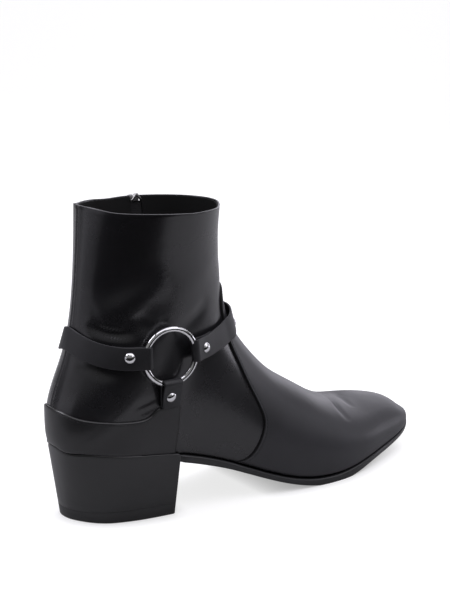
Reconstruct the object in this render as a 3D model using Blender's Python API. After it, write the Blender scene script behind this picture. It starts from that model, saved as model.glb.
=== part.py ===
"""Right harness ankle boot: lasted upper, vamp and counter overlays, ring harness, block heel, inner zip.

Tables are in millimetres, x from the heel back to the toe, y to the inner side, z up from the floor.
"""
import math

import bmesh
import bpy
import numpy as np
from mathutils import Matrix, Vector
from mathutils.bvhtree import BVHTree

MM = 0.001
CENTRE_X = 145.3
CENTRE_Y = 0.5

WALL = 2.0
GAP = 0.3
OVERLAY = 1.4
SOLE_PROUD = 2.3
SOLE_EDGE_TUCK = 0.8
INSOLE_THICK = 3.0
INSOLE_INSET = 3.0
LIFT_THICK = 8.0
STRAP_WIDTH = 14.0
STRAP_THICK = 1.8
LOOP_THICK = 6.2
LOOP_ROUND = 3.1
RING_RADIUS = 17.6
RING_WIRE = 1.8
RING_CENTRE = (62.2, -37.4, 108.2)
RING_TURN_DEG = 6.0
STUD_RADIUS = 3.5
STUD_HEIGHT = 2.0
STUD_GAP = 0.55
ZIP_TOP_X = 81.5
ZIP_FOOT_X = 86.0
ZIP_FOOT_Z = 62.0
ZIP_SLOT = 7.0
AXIS_X = 65.0

# One row per section of the last, toe to collar. Base is the feather line, then the back seam.
# Top is the ridge.
SECTION_COLUMNS = ("base_x", "base_z", "top_x", "top_z", "top_y", "base_lat", "base_med",
                   "wide_lat", "wide_med", "wide_at", "flank", "crown", "sole")
SECTIONS = {
    "toe_edge": (292.5, 16.3, 293.7, 17.8, 5.0, 2.5, 10.0, 2.6, 10.3, 0.10, 2.40, 2.4, 4.0),
    "toe_wall": (289.0, 14.6, 292.9, 20.4, 5.0, 8.3, 15.5, 8.5, 15.8, 0.12, 2.40, 2.4, 4.0),
    "toe_crown": (281.0, 12.8, 285.6, 25.5, 5.0, 16.3, 22.5, 16.8, 22.8, 0.15, 2.40, 2.4, 4.1),
    "toe_box": (267.0, 11.6, 273.5, 32.9, 5.0, 23.8, 32.0, 24.6, 32.8, 0.18, 2.40, 2.3, 4.5),
    "toe_back": (245.0, 9.7, 250.0, 38.3, 5.0, 32.5, 39.5, 33.5, 40.5, 0.20, 2.40, 2.2, 5.1),
    "vamp": (225.0, 8.0, 230.0, 40.4, 5.0, 39.7, 45.0, 40.7, 46.0, 0.22, 2.40, 2.1, 5.9),
    "ball": (197.0, 5.9, 206.0, 48.7, 5.0, 45.0, 46.0, 46.0, 47.0, 0.25, 2.40, 2.0, 7.0),
    "joint": (165.0, 8.1, 184.0, 61.6, 5.0, 43.9, 40.0, 44.9, 42.5, 0.28, 2.40, 2.0, 5.8),
    "instep_low": (135.0, 18.0, 165.5, 73.0, 4.0, 39.0, 31.0, 40.5, 36.5, 0.32, 2.40, 2.0, 5.5),
    "instep": (105.0, 30.8, 149.0, 87.6, 3.0, 34.4, 27.0, 36.9, 34.0, 0.36, 2.40, 2.0, 5.5),
    "throat": (70.0, 42.0, 131.9, 110.0, 2.0, 31.4, 29.5, 34.4, 34.0, 0.40, 2.40, 2.0, 5.5),
    "heel_side": (35.0, 46.4, 124.4, 130.0, 1.0, 30.3, 30.8, 33.4, 33.8, 0.36, 2.40, 2.1, 5.5),
    "heel_round": (10.0, 49.2, 122.5, 143.0, 0.5, 21.0, 21.3, 33.2, 33.5, 0.38, 2.40, 2.1, 5.5),
    "heel_back": (-1.2, 53.7, 121.2, 153.0, 0.0, 0.0, 0.0, 33.0, 33.0, 0.40, 2.40, 2.1, 5.5),
    "counter": (-2.2, 76.0, 120.2, 163.0, 0.0, 0.0, 0.0, 32.5, 32.5, 0.45, 2.20, 2.1, 5.5),
    "ankle": (9.0, 108.0, 119.5, 172.0, 0.0, 0.0, 0.0, 32.0, 32.0, 0.48, 1.95, 2.1, 5.5),
    "shaft": (17.0, 150.0, 118.8, 182.0, 0.0, 0.0, 0.0, 33.0, 33.0, 0.50, 1.85, 2.1, 5.5),
    "collar": (20.5, 199.4, 118.3, 197.8, 0.0, 0.0, 0.0, 39.6, 37.0, 0.46, 1.85, 2.1, 5.5),
}
SECTION_STEPS = (3, 3, 2, 2, 2, 2, 2, 2, 2, 2, 2, 3, 4, 2, 2, 2, 2)
HEEL_ROW = 13
SIDE_STEPS = 28
LOW_PART = 3.0 / 7.0

# Side outline of the seam where the vamp's back edge lies, tongue peak to feather line: x, z.
VAMP_SEAM = ((124.0, 146.0), (119.5, 140.5), (116.0, 133.0), (115.0, 121.0), (117.6, 105.0), (122.0, 92.0),
             (126.2, 79.4), (131.3, 67.0), (134.6, 57.5), (135.2, 51.0), (133.2, 44.2), (128.7, 35.4),
             (121.5, 28.6), (112.0, 26.0), (100.0, 20.0))
# Side outline of the counter's edge, back seam to the front foot: x, z.
COUNTER_EDGE = ((-20.0, 83.0), (-4.0, 78.6), (4.0, 73.6), (13.0, 70.9), (22.5, 69.2), (37.0, 67.6),
                (45.7, 67.8), (51.0, 69.6), (54.5, 73.0), (70.3, 73.0), (69.6, 58.0), (68.6, 42.0),
                (67.6, 30.0))
# Outline of the heel where it meets the floor, back to breast: x, half width.
HEEL_FOOT = ((6.8, 0.0), (7.3, 4.0), (9.0, 8.2), (12.4, 12.2), (18.0, 16.2), (25.0, 19.6), (34.0, 23.0),
             (49.0, 27.0), (68.4, 30.2))
HEEL_BREAST_X = 72.6

# Harness bands: turn round the shaft axis in degrees, height of the middle, stand-off at foot and head,
# thickness.
BAND_COLUMNS = ("turn", "mid_z", "foot_off", "head_off", "thick")
BACK_BAND = (
    (-119.0, 109.2, 0.7, 0.7, LOOP_THICK),
    (-126.0, 109.5, 0.7, 0.7, 5.0),
    (-138.0, 110.0, 0.6, 0.6, 3.8),
    (-150.0, 111.7, 0.6, 0.6, 2.6),
    (-160.0, 114.0, 0.6, 0.6, STRAP_THICK),
    (-171.0, 117.4, 0.8, 0.8, STRAP_THICK),
    (-180.0, 119.4, 1.0, 1.0, STRAP_THICK),
    (-189.0, 117.4, 0.8, 0.8, STRAP_THICK),
    (-200.0, 113.6, 0.6, 0.6, STRAP_THICK),
    (-215.0, 109.8, 0.6, 0.6, STRAP_THICK),
    (-240.0, 106.8, 0.6, 0.6, STRAP_THICK),
    (-284.0, 105.4, 0.6, 0.6, STRAP_THICK),
)
FRONT_BAND = (
    (-69.0, 109.6, 5.0, 5.0, LOOP_THICK),
    (-61.0, 109.6, 4.0, 4.0, 5.0),
    (-50.0, 109.6, 2.2, 2.4, 3.8),
    (-38.0, 110.8, 0.9, 1.3, 2.6),
    (-27.0, 112.6, 2.0, 2.5, STRAP_THICK),
    (-15.0, 116.0, 0.7, 3.0, STRAP_THICK),
    (0.0, 118.6, 0.7, 3.8, STRAP_THICK),
    (15.0, 116.0, 0.7, 3.0, STRAP_THICK),
    (27.0, 112.6, 2.0, 2.5, STRAP_THICK),
    (38.0, 109.8, 1.3, 1.5, STRAP_THICK),
    (48.0, 107.8, 0.7, 0.7, STRAP_THICK),
)
TAB_COLUMNS = ("mid_x", "mid_z", "off", "thick")
RING_TAB = (
    (62.3, 91.0, 1.4, LOOP_THICK),
    (62.4, 86.6, 0.9, 5.0),
    (62.6, 80.0, 0.5, 3.8),
    (62.8, 73.6, 0.4, 3.6),
)

BLACK_LEATHER = ("black_leather", (0.012, 0.012, 0.013, 1.0), 0.0, 0.30)
STRAP_LEATHER = ("strap_leather", (0.014, 0.014, 0.015, 1.0), 0.0, 0.40)
SOLE_BLACK = ("sole_black", (0.016, 0.016, 0.017, 1.0), 0.0, 0.45)
RUBBER = ("rubber", (0.020, 0.020, 0.020, 1.0), 0.0, 0.60)
LINING = ("lining_leather", (0.045, 0.042, 0.040, 1.0), 0.0, 0.60)
CHROME = ("chrome", (0.80, 0.80, 0.80, 1.0), 1.0, 0.12)
ZIP_METAL = ("zip_metal", (0.55, 0.55, 0.56, 1.0), 1.0, 0.30)

for old in list(bpy.data.objects):
    bpy.data.objects.remove(old, do_unlink=True)


def new_collection(name):
    """Add a collection to the scene."""
    group = bpy.data.collections.new(name)
    bpy.context.scene.collection.children.link(group)
    return group


BOOT = new_collection("buckle_ankle_boot")
CUTTERS = new_collection("cutters")
UP = np.array([0.0, 0.0, 1.0])


def metres(point):
    """Millimetres from the heel back to metres from the middle of the boot's box."""
    return Vector(((point[0] - CENTRE_X) * MM, (point[1] - CENTRE_Y) * MM, point[2] * MM))


def material(name, colour, metallic, roughness):
    """One Principled material, made once and shared."""
    found = bpy.data.materials.get(name)
    if found:
        return found
    made = bpy.data.materials.new(name)
    made.use_nodes = True
    shader = made.node_tree.nodes["Principled BSDF"]
    shader.inputs["Base Color"].default_value = colour
    shader.inputs["Metallic"].default_value = metallic
    shader.inputs["Roughness"].default_value = roughness
    return made


def mesh_object(name, points, faces, look=None, group=BOOT):
    """A closed mesh object from points in millimetres, its seams welded and its faces turned outward."""
    mesh = bpy.data.meshes.new(name)
    mesh.from_pydata([metres(p) for p in points], [], faces)
    work = bmesh.new()
    work.from_mesh(mesh)
    bmesh.ops.remove_doubles(work, verts=work.verts, dist=0.000002)
    bmesh.ops.dissolve_degenerate(work, edges=work.edges, dist=0.000002)
    bmesh.ops.recalc_face_normals(work, faces=work.faces)
    work.to_mesh(mesh)
    work.free()
    made = bpy.data.objects.new(name, mesh)
    group.objects.link(made)
    if look:
        mesh.materials.append(material(*look))
    else:
        made.hide_render = True
        made.display_type = "WIRE"
    return made


def boolean(target, cutter, operation):
    """Apply one exact Boolean to an object."""
    step = target.modifiers.new(operation.lower(), "BOOLEAN")
    step.operation = operation
    step.solver = "EXACT"
    step.object = cutter
    bpy.context.view_layer.objects.active = target
    bpy.ops.object.modifier_apply(modifier=step.name)


def natural_spline(values):
    """Natural cubic spline through values at whole numbers."""
    values = np.asarray(values, float)
    count = len(values)
    system = np.eye(count)
    right = np.zeros(count)
    for i in range(1, count - 1):
        system[i, i - 1:i + 2] = (1.0, 4.0, 1.0)
        right[i] = 6.0 * (values[i - 1] - 2.0 * values[i] + values[i + 1])
    bend = np.linalg.solve(system, right)

    def value(u):
        u = np.asarray(u, float)
        i = np.clip(u.astype(int), 0, count - 2)
        b = u - i
        a = 1.0 - b
        return (a * values[i] + b * values[i + 1]
                + (a ** 3 - a) * bend[i] / 6.0 + (b ** 3 - b) * bend[i + 1] / 6.0)

    return value


COLUMN = {name: natural_spline([row[i] for row in SECTIONS.values()])
          for i, name in enumerate(SECTION_COLUMNS)}


def foot_width(name):
    """Half width of the feather line, splined as its square so that the heel closes round."""
    at = SECTION_COLUMNS.index(name)
    square = [row[at] ** 2 for row in SECTIONS.values()][:HEEL_ROW]
    curve = natural_spline(square + [0.0] + [-v for v in square[:-4:-1]])

    def value(u):
        return np.sqrt(np.maximum(curve(np.minimum(u, HEEL_ROW)), 0.0))

    return value


COLUMN["base_lat"] = foot_width("base_lat")
COLUMN["base_med"] = foot_width("base_med")


def last_point(u, t):
    """Point of the outer form: u counts sections from the toe, t is -1 outer foot, 0 ridge, 1 inner foot."""
    u, t = np.broadcast_arrays(np.asarray(u, float), np.asarray(t, float))
    row = {name: curve(u) for name, curve in COLUMN.items()}
    side = np.where(t < 0.0, -1.0, 1.0)
    height = 1.0 - np.abs(t)
    foot = np.where(t < 0.0, row["base_lat"], row["base_med"])
    foot = np.where(u >= HEEL_ROW, 0.0, foot)
    wide = np.where(t < 0.0, row["wide_lat"], row["wide_med"])
    low = np.clip(height / LOW_PART, 0.0, 1.0)
    high = np.clip((height - LOW_PART) / (1.0 - LOW_PART), 0.0, 1.0) * math.pi / 2.0
    power = 2.0 / row["crown"]
    spread = np.clip(foot / 12.0, 0.0, 1.0)
    part = spread * low + (1.0 - spread) * (1.0 - np.cos(low * math.pi / 2.0))
    bend = row["flank"]
    grow = np.maximum(wide ** bend - foot ** bend, 0.0)
    out_low = (foot ** bend + grow * (1.0 - (1.0 - part) ** 2)) ** (1.0 / bend)
    rise_low = row["wide_at"] * part
    ridge = side * row["top_y"]
    out_high = ridge + (wide - ridge) * np.clip(np.cos(high), 0.0, 1.0) ** power
    rise_high = row["wide_at"] + (1.0 - row["wide_at"]) * np.sin(high) ** power
    out = np.where(height < LOW_PART, out_low, out_high)
    rise = np.where(height < LOW_PART, rise_low, rise_high)
    x = row["base_x"] + (row["top_x"] - row["base_x"]) * rise
    z = row["base_z"] + (row["top_z"] - row["base_z"]) * rise
    return np.stack([x, side * out, z], axis=-1)


def last_normal(u, t):
    """Outward unit normal of the form, level along the feather line, the collar and the toe's foot."""
    step = 0.004
    last_row = len(SECTIONS) - 1.0
    ahead = np.clip(u + step, 0.0, last_row)
    behind = np.clip(u - step, 0.0, last_row)
    along = last_point(ahead, t) - last_point(behind, t)
    around = last_point(u, np.clip(t + step, -1.0, 1.0))
    around = around - last_point(u, np.clip(t - step, -1.0, 1.0))
    normal = np.cross(around, along)
    seam = (np.abs(t) > 0.999) & (u >= HEEL_ROW)
    normal[..., 1] = np.where(seam, 0.0, normal[..., 1])
    normal[..., 0] = np.where(seam, -np.abs(normal[..., 0]), normal[..., 0])
    level = ((np.abs(t) > 0.999) & (u <= HEEL_ROW)) | (u < 0.001) | (u > last_row - 0.001)
    normal[..., 2] = np.where(level, 0.0, normal[..., 2])
    return normal / np.linalg.norm(normal, axis=-1, keepdims=True)


def row_numbers(first=0, last=len(SECTION_STEPS)):
    """Section numbers between two rows, each step of the table cut as its count says."""
    numbers = [i + k / SECTION_STEPS[i] for i in range(first, last) for k in range(SECTION_STEPS[i])]
    return np.array(numbers + [float(last)])


def shell(name, rows, inside, outside, look=None, group=BOOT):
    """Closed skin between two offsets of the form."""
    u = rows[:, None]
    t = np.linspace(-1.0, 1.0, SIDE_STEPS + 1)[None, :]
    u, t = np.broadcast_arrays(u, t)
    base = last_point(u, t)
    normal = last_normal(u, t)
    floor = np.where(u <= HEEL_ROW, COLUMN["base_z"](u), 0.0)
    sheets = []
    for offset in (outside, inside):
        sheet = base + normal * offset
        sheet[..., 2] = np.maximum(sheet[..., 2], floor)
        sheets.append(sheet.reshape(-1, 3))
    points = np.vstack(sheets)
    wide = SIDE_STEPS + 1
    half = len(sheets[0])
    faces = []
    for i in range(len(rows) - 1):
        for j in range(SIDE_STEPS):
            a, b = i * wide + j, i * wide + j + 1
            c, d = b + wide, a + wide
            pair = [(a, b, c), (a, c, d)] if j < SIDE_STEPS // 2 else [(a, b, d), (b, c, d)]
            faces += pair
            faces += [tuple(k + half for k in reversed(face)) for face in pair]
        for j in (0, SIDE_STEPS):
            if rows[i + 1] <= HEEL_ROW:
                k = (i + 1) * wide + j
                faces.append((i * wide + j, k, k + half, i * wide + j + half))
    for i in (0, len(rows) - 1):
        for j in range(SIDE_STEPS):
            faces.append((i * wide + j, i * wide + j + 1, i * wide + j + 1 + half, i * wide + j + half))
    return mesh_object(name, points, faces, look, group)


def side_prism(name, outline, y_from, y_to):
    """Cutter with a side outline, running across the boot."""
    count = len(outline)
    points = [(x, y, z) for y in (y_from, y_to) for x, z in outline]
    faces = [tuple(range(count)), tuple(range(2 * count - 1, count - 1, -1))]
    faces += [(i, i + count, (i + 1) % count + count, (i + 1) % count) for i in range(count)]
    return mesh_object(name, points, faces, None, CUTTERS)


def loft(name, rings, look, group=BOOT):
    """Closed solid through rings of equal count, capped at both ends."""
    count = len(rings[0])
    points = [p for ring in rings for p in ring]
    faces = [tuple(range(count)), tuple(range(len(points) - 1, len(points) - count - 1, -1))]
    for i in range(len(rings) - 1):
        for j in range(count):
            k = (j + 1) % count
            faces.append((i * count + j, i * count + k, (i + 1) * count + k, (i + 1) * count + j))
    return mesh_object(name, points, faces, look, group)


def ladder(name, levels, look):
    """Closed solid of levels from top to foot; each level is a left and a right edge that close at the back."""
    count = len(levels[0][0])
    points = [p for left, right in levels for p in list(left) + list(right)]
    faces = []
    foot = 2 * count * (len(levels) - 1)
    for i in range(count - 1):
        a, b, c, d = i, i + 1, count + i + 1, count + i
        faces += [(a, b, c), (a, c, d), (c + foot, b + foot, a + foot), (d + foot, c + foot, a + foot)]
    for level in range(len(levels) - 1):
        high = 2 * count * level
        low = high + 2 * count
        for i in range(count - 1):
            for side in (0, count):
                faces.append((high + side + i, high + side + i + 1, low + side + i + 1, low + side + i))
        faces.append((high, high + count, low + count, low))
    return mesh_object(name, points, faces, look)


def feather(rows, spread):
    """Outer and inner feather line moved sideways in plan by a spread."""
    lines = []
    for side in (-1.0, 1.0):
        t = np.full_like(rows, side)
        lines.append(last_point(rows, t) + last_normal(rows, t) * spread)
    return lines


ROWS_ALL = row_numbers()
ROWS_FOOT = row_numbers(0, HEEL_ROW)

# Upper: one wall of leather from the feather line to the collar, slit for the zip on the inner side.
upper = shell("upper", ROWS_ALL, -WALL, 0.0, BLACK_LEATHER)


def slot_outline(width, foot_z, head_z):
    """Side outline of the leaning zip slit."""
    def middle(z):
        return ZIP_FOOT_X + (ZIP_TOP_X - ZIP_FOOT_X) * (z - ZIP_FOOT_Z) / (197.0 - ZIP_FOOT_Z)

    half = width / 2.0
    return [(middle(foot_z) - half, foot_z), (middle(foot_z) + half, foot_z),
            (middle(head_z) + half, head_z), (middle(head_z) - half, head_z)]


slot = side_prism("zip_slot", slot_outline(ZIP_SLOT, ZIP_FOOT_Z, 215.0), 15.0, 60.0)
boolean(upper, slot, "DIFFERENCE")

# Zip chain closing the slit, set a little under the leather's face.
zip_chain = shell("zip_chain", row_numbers(9), -WALL + 0.2, -0.2, ZIP_METAL)
chain_cut = side_prism("chain_cut", slot_outline(ZIP_SLOT - 2.0 * GAP, ZIP_FOOT_Z + GAP, 195.0), 15.0, 60.0)
boolean(zip_chain, chain_cut, "INTERSECT")

# Vamp: an overlay that laps the quarters behind the ball and runs up the front as a tongue peak.
vamp = shell("vamp", row_numbers(0, 16), GAP, GAP + OVERLAY, BLACK_LEATHER)
vamp_front = [(100.0, -20.0), (330.0, -20.0), (330.0, 146.0)]
vamp_cut = side_prism("vamp_cut", list(VAMP_SEAM) + vamp_front, -80.0, 80.0)
boolean(vamp, vamp_cut, "INTERSECT")

# Counter: an overlay round the heel, its front edge standing under the ring.
counter = shell("counter", row_numbers(9, 16), GAP, GAP + OVERLAY, BLACK_LEATHER)
counter_cut = side_prism("counter_cut", list(COUNTER_EDGE) + [(-20.0, 30.0)], -80.0, 80.0)
boolean(counter, counter_cut, "INTERSECT")

# Outsole, full length, with its tread flat on the floor under the ball.
sole_edges = feather(ROWS_FOOT, SOLE_PROUD)
sole_feet = feather(ROWS_FOOT, SOLE_PROUD - SOLE_EDGE_TUCK)
sole_depth = COLUMN["sole"](ROWS_FOOT)[:, None] * UP
for edge, foot in zip(sole_edges, sole_feet):
    foot -= sole_depth
    foot[:, 2] = np.maximum(foot[:, 2], 0.0)
    edge -= GAP * UP
outsole = ladder("outsole", (sole_edges, sole_feet), SOLE_BLACK)

# Insole board inside the upper, on the outsole.
insole_rows = ROWS_FOOT[ROWS_FOOT > 2.3]
insole_foot = feather(insole_rows, -INSOLE_INSET)
insole_head = [line + INSOLE_THICK * UP for line in feather(insole_rows, -INSOLE_INSET - 1.0)]
insole = ladder("insole", (insole_head, insole_foot), LINING)


def along(line):
    """Part of a line's length at each of its points."""
    run = np.concatenate([[0.0], np.cumsum(np.linalg.norm(np.diff(line, axis=0), axis=1))])
    return run / run[-1]


def heel_level(height):
    """Left and right edge of the heel at a height; None stands for the seat under the outsole."""
    sole = sole_feet[0] - GAP * UP
    behind = int(np.argmax(sole[:, 0] < HEEL_BREAST_X))
    share = (sole[behind - 1, 0] - HEEL_BREAST_X) / (sole[behind - 1, 0] - sole[behind, 0])
    breast = sole[behind - 1] + (sole[behind] - sole[behind - 1]) * share
    seat = np.vstack([breast, sole[behind:]])
    seat[-1, 1] = 0.0
    foot = np.array([(x, -y, 0.0) for x, y in HEEL_FOOT[::-1]])
    foot = np.stack([np.interp(along(seat), along(foot), foot[:, i]) for i in range(3)], axis=-1)
    if height is None:
        left = seat
    else:
        left = foot + (seat - foot) * (height / seat[:, 2])[:, None]
    return left, left * np.array([1.0, -1.0, 1.0])


# Heel block under the seat and the top lift that takes the wear.
heel = ladder("heel", [heel_level(z) for z in (None, LIFT_THICK + 0.1)], SOLE_BLACK)
top_lift = ladder("top_lift", [heel_level(z) for z in (LIFT_THICK - 0.1, 0.0)], RUBBER)


def tree_of(piece):
    """Search tree of a finished piece."""
    return BVHTree.FromObject(piece, bpy.context.evaluated_depsgraph_get())


SKINS = [tree_of(piece) for piece in (upper, vamp, counter)]


def skin_hit(start, direction):
    """Where a ray first meets the upper or an overlay, in millimetres."""
    hits = [tree.ray_cast(metres(start), Vector(direction).normalized()) for tree in SKINS]
    place = min((hit for hit in hits if hit[0]), key=lambda hit: hit[3])[0]
    return np.array(((place.x / MM) + CENTRE_X, (place.y / MM) + CENTRE_Y, place.z / MM))


def stations(table, columns, steps):
    """Rows of a table joined by splines, as dictionaries."""
    curves = {name: natural_spline([row[i] for row in table]) for i, name in enumerate(columns)}
    spots = np.linspace(0.0, len(table) - 1.0, steps)
    return [{name: float(curve(spot)) for name, curve in curves.items()} for spot in spots]


def band_sections(table, steps):
    """Foot, head and outward direction of each section of a band that wraps the shaft."""
    sections = []
    for row in stations(table, BAND_COLUMNS, steps):
        turn = math.radians(row["turn"])
        out = np.array((math.cos(turn), math.sin(turn), 0.0))
        heights = np.linspace(row["mid_z"] - STRAP_WIDTH / 2.0, row["mid_z"] + STRAP_WIDTH / 2.0, 5)
        reach = []
        for height in heights:
            start = np.array((AXIS_X, 0.0, height)) + out * 150.0
            hit = skin_hit(start, -out)
            reach.append(math.hypot(hit[0] - AXIS_X, hit[1]))
        reach = np.array(reach)
        line = np.linspace(reach[0], reach[-1], 5)
        bulge = max(0.0, float(np.max(reach - line)))
        axis = np.array((AXIS_X, 0.0, 0.0))
        foot = axis + out * (reach[0] + bulge + row["foot_off"]) + heights[0] * UP
        head = axis + out * (reach[-1] + bulge + row["head_off"]) + heights[-1] * UP
        sections.append((foot, head, row["thick"]))
    return sections


def tab_sections(steps):
    """Edges of the short tab below the ring, folded round the wire."""
    sections = []
    for row in stations(RING_TAB, TAB_COLUMNS, steps):
        back = skin_hit((row["mid_x"] - 6.75, -120.0, row["mid_z"]), (0.0, 1.0, 0.0))
        front = skin_hit((row["mid_x"] + 6.75, -120.0, row["mid_z"]), (0.0, 1.0, 0.0))
        reach = min(back[1], front[1], skin_hit((row["mid_x"], -120.0, row["mid_z"]), (0.0, 1.0, 0.0))[1])
        back[1] = front[1] = reach - row["off"]
        sections.append((back, front, row["thick"]))
    return sections


def strap(name, sections, flip):
    """Leather band through its sections, its first end rounded over the ring wire."""
    feet = np.array([s[0] for s in sections])
    heads = np.array([s[1] for s in sections])
    thick = np.array([s[2] for s in sections])
    run = np.gradient((feet + heads) / 2.0, axis=0)
    out = np.cross(run, heads - feet) * flip
    out /= np.linalg.norm(out, axis=1, keepdims=True)
    rings = []
    ahead = -run[0] / np.linalg.norm(run[0])
    for angle in (80.0, 52.0, 25.0):
        reach = LOOP_ROUND * math.sin(math.radians(angle))
        depth = LOOP_ROUND * math.cos(math.radians(angle))
        inner = thick[0] / 2.0 - depth
        outer = thick[0] / 2.0 + depth
        shift = ahead * reach
        rings.append([feet[0] + shift + out[0] * inner, heads[0] + shift + out[0] * inner,
                      heads[0] + shift + out[0] * outer, feet[0] + shift + out[0] * outer])
    for foot, head, normal, depth in zip(feet, heads, out, thick):
        rings.append([foot, head, head + normal * depth, foot + normal * depth])
    return loft(name, rings, STRAP_LEATHER)


def ring_mesh(name, wire, look, group, major_steps=36, minor_steps=10):
    """Round wire ring hung on the outer side."""
    turn = math.radians(RING_TURN_DEG)
    across = np.array((math.cos(turn), -math.sin(turn), 0.0))
    normal = np.array((-math.sin(turn), -math.cos(turn), 0.0))
    centre = np.array(RING_CENTRE)
    points = []
    for i in range(major_steps):
        a = 2.0 * math.pi * i / major_steps
        radial = across * math.cos(a) + UP * math.sin(a)
        for j in range(minor_steps):
            b = 2.0 * math.pi * j / minor_steps
            points.append(centre + radial * (RING_RADIUS + wire * math.cos(b)) + normal * wire * math.sin(b))
    faces = []
    for i in range(major_steps):
        for j in range(minor_steps):
            a, b = i * minor_steps, ((i + 1) % major_steps) * minor_steps
            k = (j + 1) % minor_steps
            faces.append((a + j, b + j, b + k, a + k))
    return mesh_object(name, points, faces, look, group)


# Harness: a back and a front strap and a short tab, each folded round the ring.
ring = ring_mesh("ring", RING_WIRE, CHROME, BOOT)
ring_hole = ring_mesh("ring_hole", RING_WIRE + GAP + 0.1, None, CUTTERS)
back_sections = band_sections(BACK_BAND, 34)
front_sections = band_sections(FRONT_BAND, 31)
strap_back = strap("strap_back", back_sections, -1.0)
strap_front = strap("strap_front", front_sections, 1.0)
ring_tab = strap("ring_tab", tab_sections(7), 1.0)
for piece in (strap_back, strap_front, ring_tab):
    boolean(piece, ring_hole, "DIFFERENCE")


def stud(name, near, turn_deg):
    """Domed rivet head on the outer face of a strap."""
    tree = tree_of(bpy.data.objects[near[0]])
    out = Vector((math.cos(math.radians(turn_deg)), math.sin(math.radians(turn_deg)), 0.0))
    place, normal, _, _ = tree.ray_cast(metres(near[1]) + out * 0.1, -out)
    lean = normal.to_track_quat("Z", "Y").to_matrix().to_4x4()
    turn = Matrix.Translation(place + normal * STUD_GAP * MM) @ lean
    profile = [(STUD_RADIUS, 0.0), (STUD_RADIUS, 0.5),
               (STUD_RADIUS * 0.86, 1.2), (STUD_RADIUS * 0.5, 1.75)]
    steps = 16
    points = []
    for radius, height in profile:
        for i in range(steps):
            a = 2.0 * math.pi * i / steps
            points.append((radius * math.cos(a), radius * math.sin(a), height))
    points += [(0.0, 0.0, STUD_HEIGHT), (0.0, 0.0, 0.0)]
    faces = []
    for level in range(len(profile) - 1):
        for i in range(steps):
            k = (i + 1) % steps
            low, high = level * steps, (level + 1) * steps
            faces.append((low + i, low + k, high + k, high + i))
    last_ring = (len(profile) - 1) * steps
    for i in range(steps):
        k = (i + 1) % steps
        faces.append((last_ring + i, last_ring + k, len(profile) * steps))
        faces.append((k, i, len(profile) * steps + 1))
    placed = [turn @ (Vector(p) * MM) for p in points]
    back = [((p.x / MM) + CENTRE_X, (p.y / MM) + CENTRE_Y, p.z / MM) for p in placed]
    return mesh_object(name, back, faces, CHROME)


stud_back = stud("stud_back", ("strap_back", (34.5, -34.0, 111.0)), -126.0)
stud_front = stud("stud_front", ("strap_front", (89.6, -34.0, 110.0)), -64.0)
stud_tab = stud("stud_tab", ("ring_tab", (61.6, -37.0, 82.0)), -90.0)
stud_instep = stud("stud_instep", ("strap_front", (132.0, -8.0, 115.2)), -8.0)


def box(name, low, high, look, group=BOOT):
    """Plain block between two corners."""
    points = [(x, y, z) for x in (low[0], high[0]) for y in (low[1], high[1]) for z in (low[2], high[2])]
    faces = [(0, 1, 3, 2), (4, 6, 7, 5), (0, 4, 5, 1), (2, 3, 7, 6), (0, 2, 6, 4), (1, 5, 7, 3)]
    return mesh_object(name, points, faces, look, group)


# Zip slider at the collar, its arch holding the cross bar of the pull tab.
slider_spots = [(x, z) for x in (77.0, 86.4) for z in (188.0, 196.0)]
SLIDER_FACE = max(skin_hit((x, 90.0, z), (0.0, -1.0, 0.0))[1] for x, z in slider_spots) + 0.5
PIVOT = (ZIP_TOP_X + 0.2, SLIDER_FACE + 3.6, 193.4)
zip_slider = box("zip_slider", (ZIP_TOP_X - 4.3, SLIDER_FACE, 187.6),
                 (ZIP_TOP_X + 4.7, SLIDER_FACE + 1.8, 199.4), ZIP_METAL)
arch = box("slider_arch", (PIVOT[0] - 1.4, SLIDER_FACE + 1.2, PIVOT[2] - 3.4),
           (PIVOT[0] + 1.4, SLIDER_FACE + 6.0, PIVOT[2] + 3.4), None, CUTTERS)
boolean(zip_slider, arch, "UNION")
arch_hole = box("arch_hole", (PIVOT[0] - 5.0, PIVOT[1] - 1.3, PIVOT[2] - 1.3),
                (PIVOT[0] + 5.0, PIVOT[1] + 1.3, PIVOT[2] + 1.3), None, CUTTERS)
boolean(zip_slider, arch_hole, "DIFFERENCE")

# Pull tab: a flat tongue with a window, its head bar lying under the arch.
zip_pull = box("zip_pull", (PIVOT[0] - 3.6, PIVOT[1] - 0.7, PIVOT[2] - 26.0),
               (PIVOT[0] + 3.6, PIVOT[1] + 0.7, PIVOT[2] + 0.7), ZIP_METAL)
pull_window = box("pull_window", (PIVOT[0] - 2.0, PIVOT[1] - 3.0, PIVOT[2] - 5.6),
                  (PIVOT[0] + 2.0, PIVOT[1] + 3.0, PIVOT[2] - 0.7), None, CUTTERS)
boolean(zip_pull, pull_window, "DIFFERENCE")
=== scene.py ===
import math

import bmesh
import bpy
import numpy as np
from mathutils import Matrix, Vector
from mathutils.bvhtree import BVHTree
from mathutils.kdtree import KDTree


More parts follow.
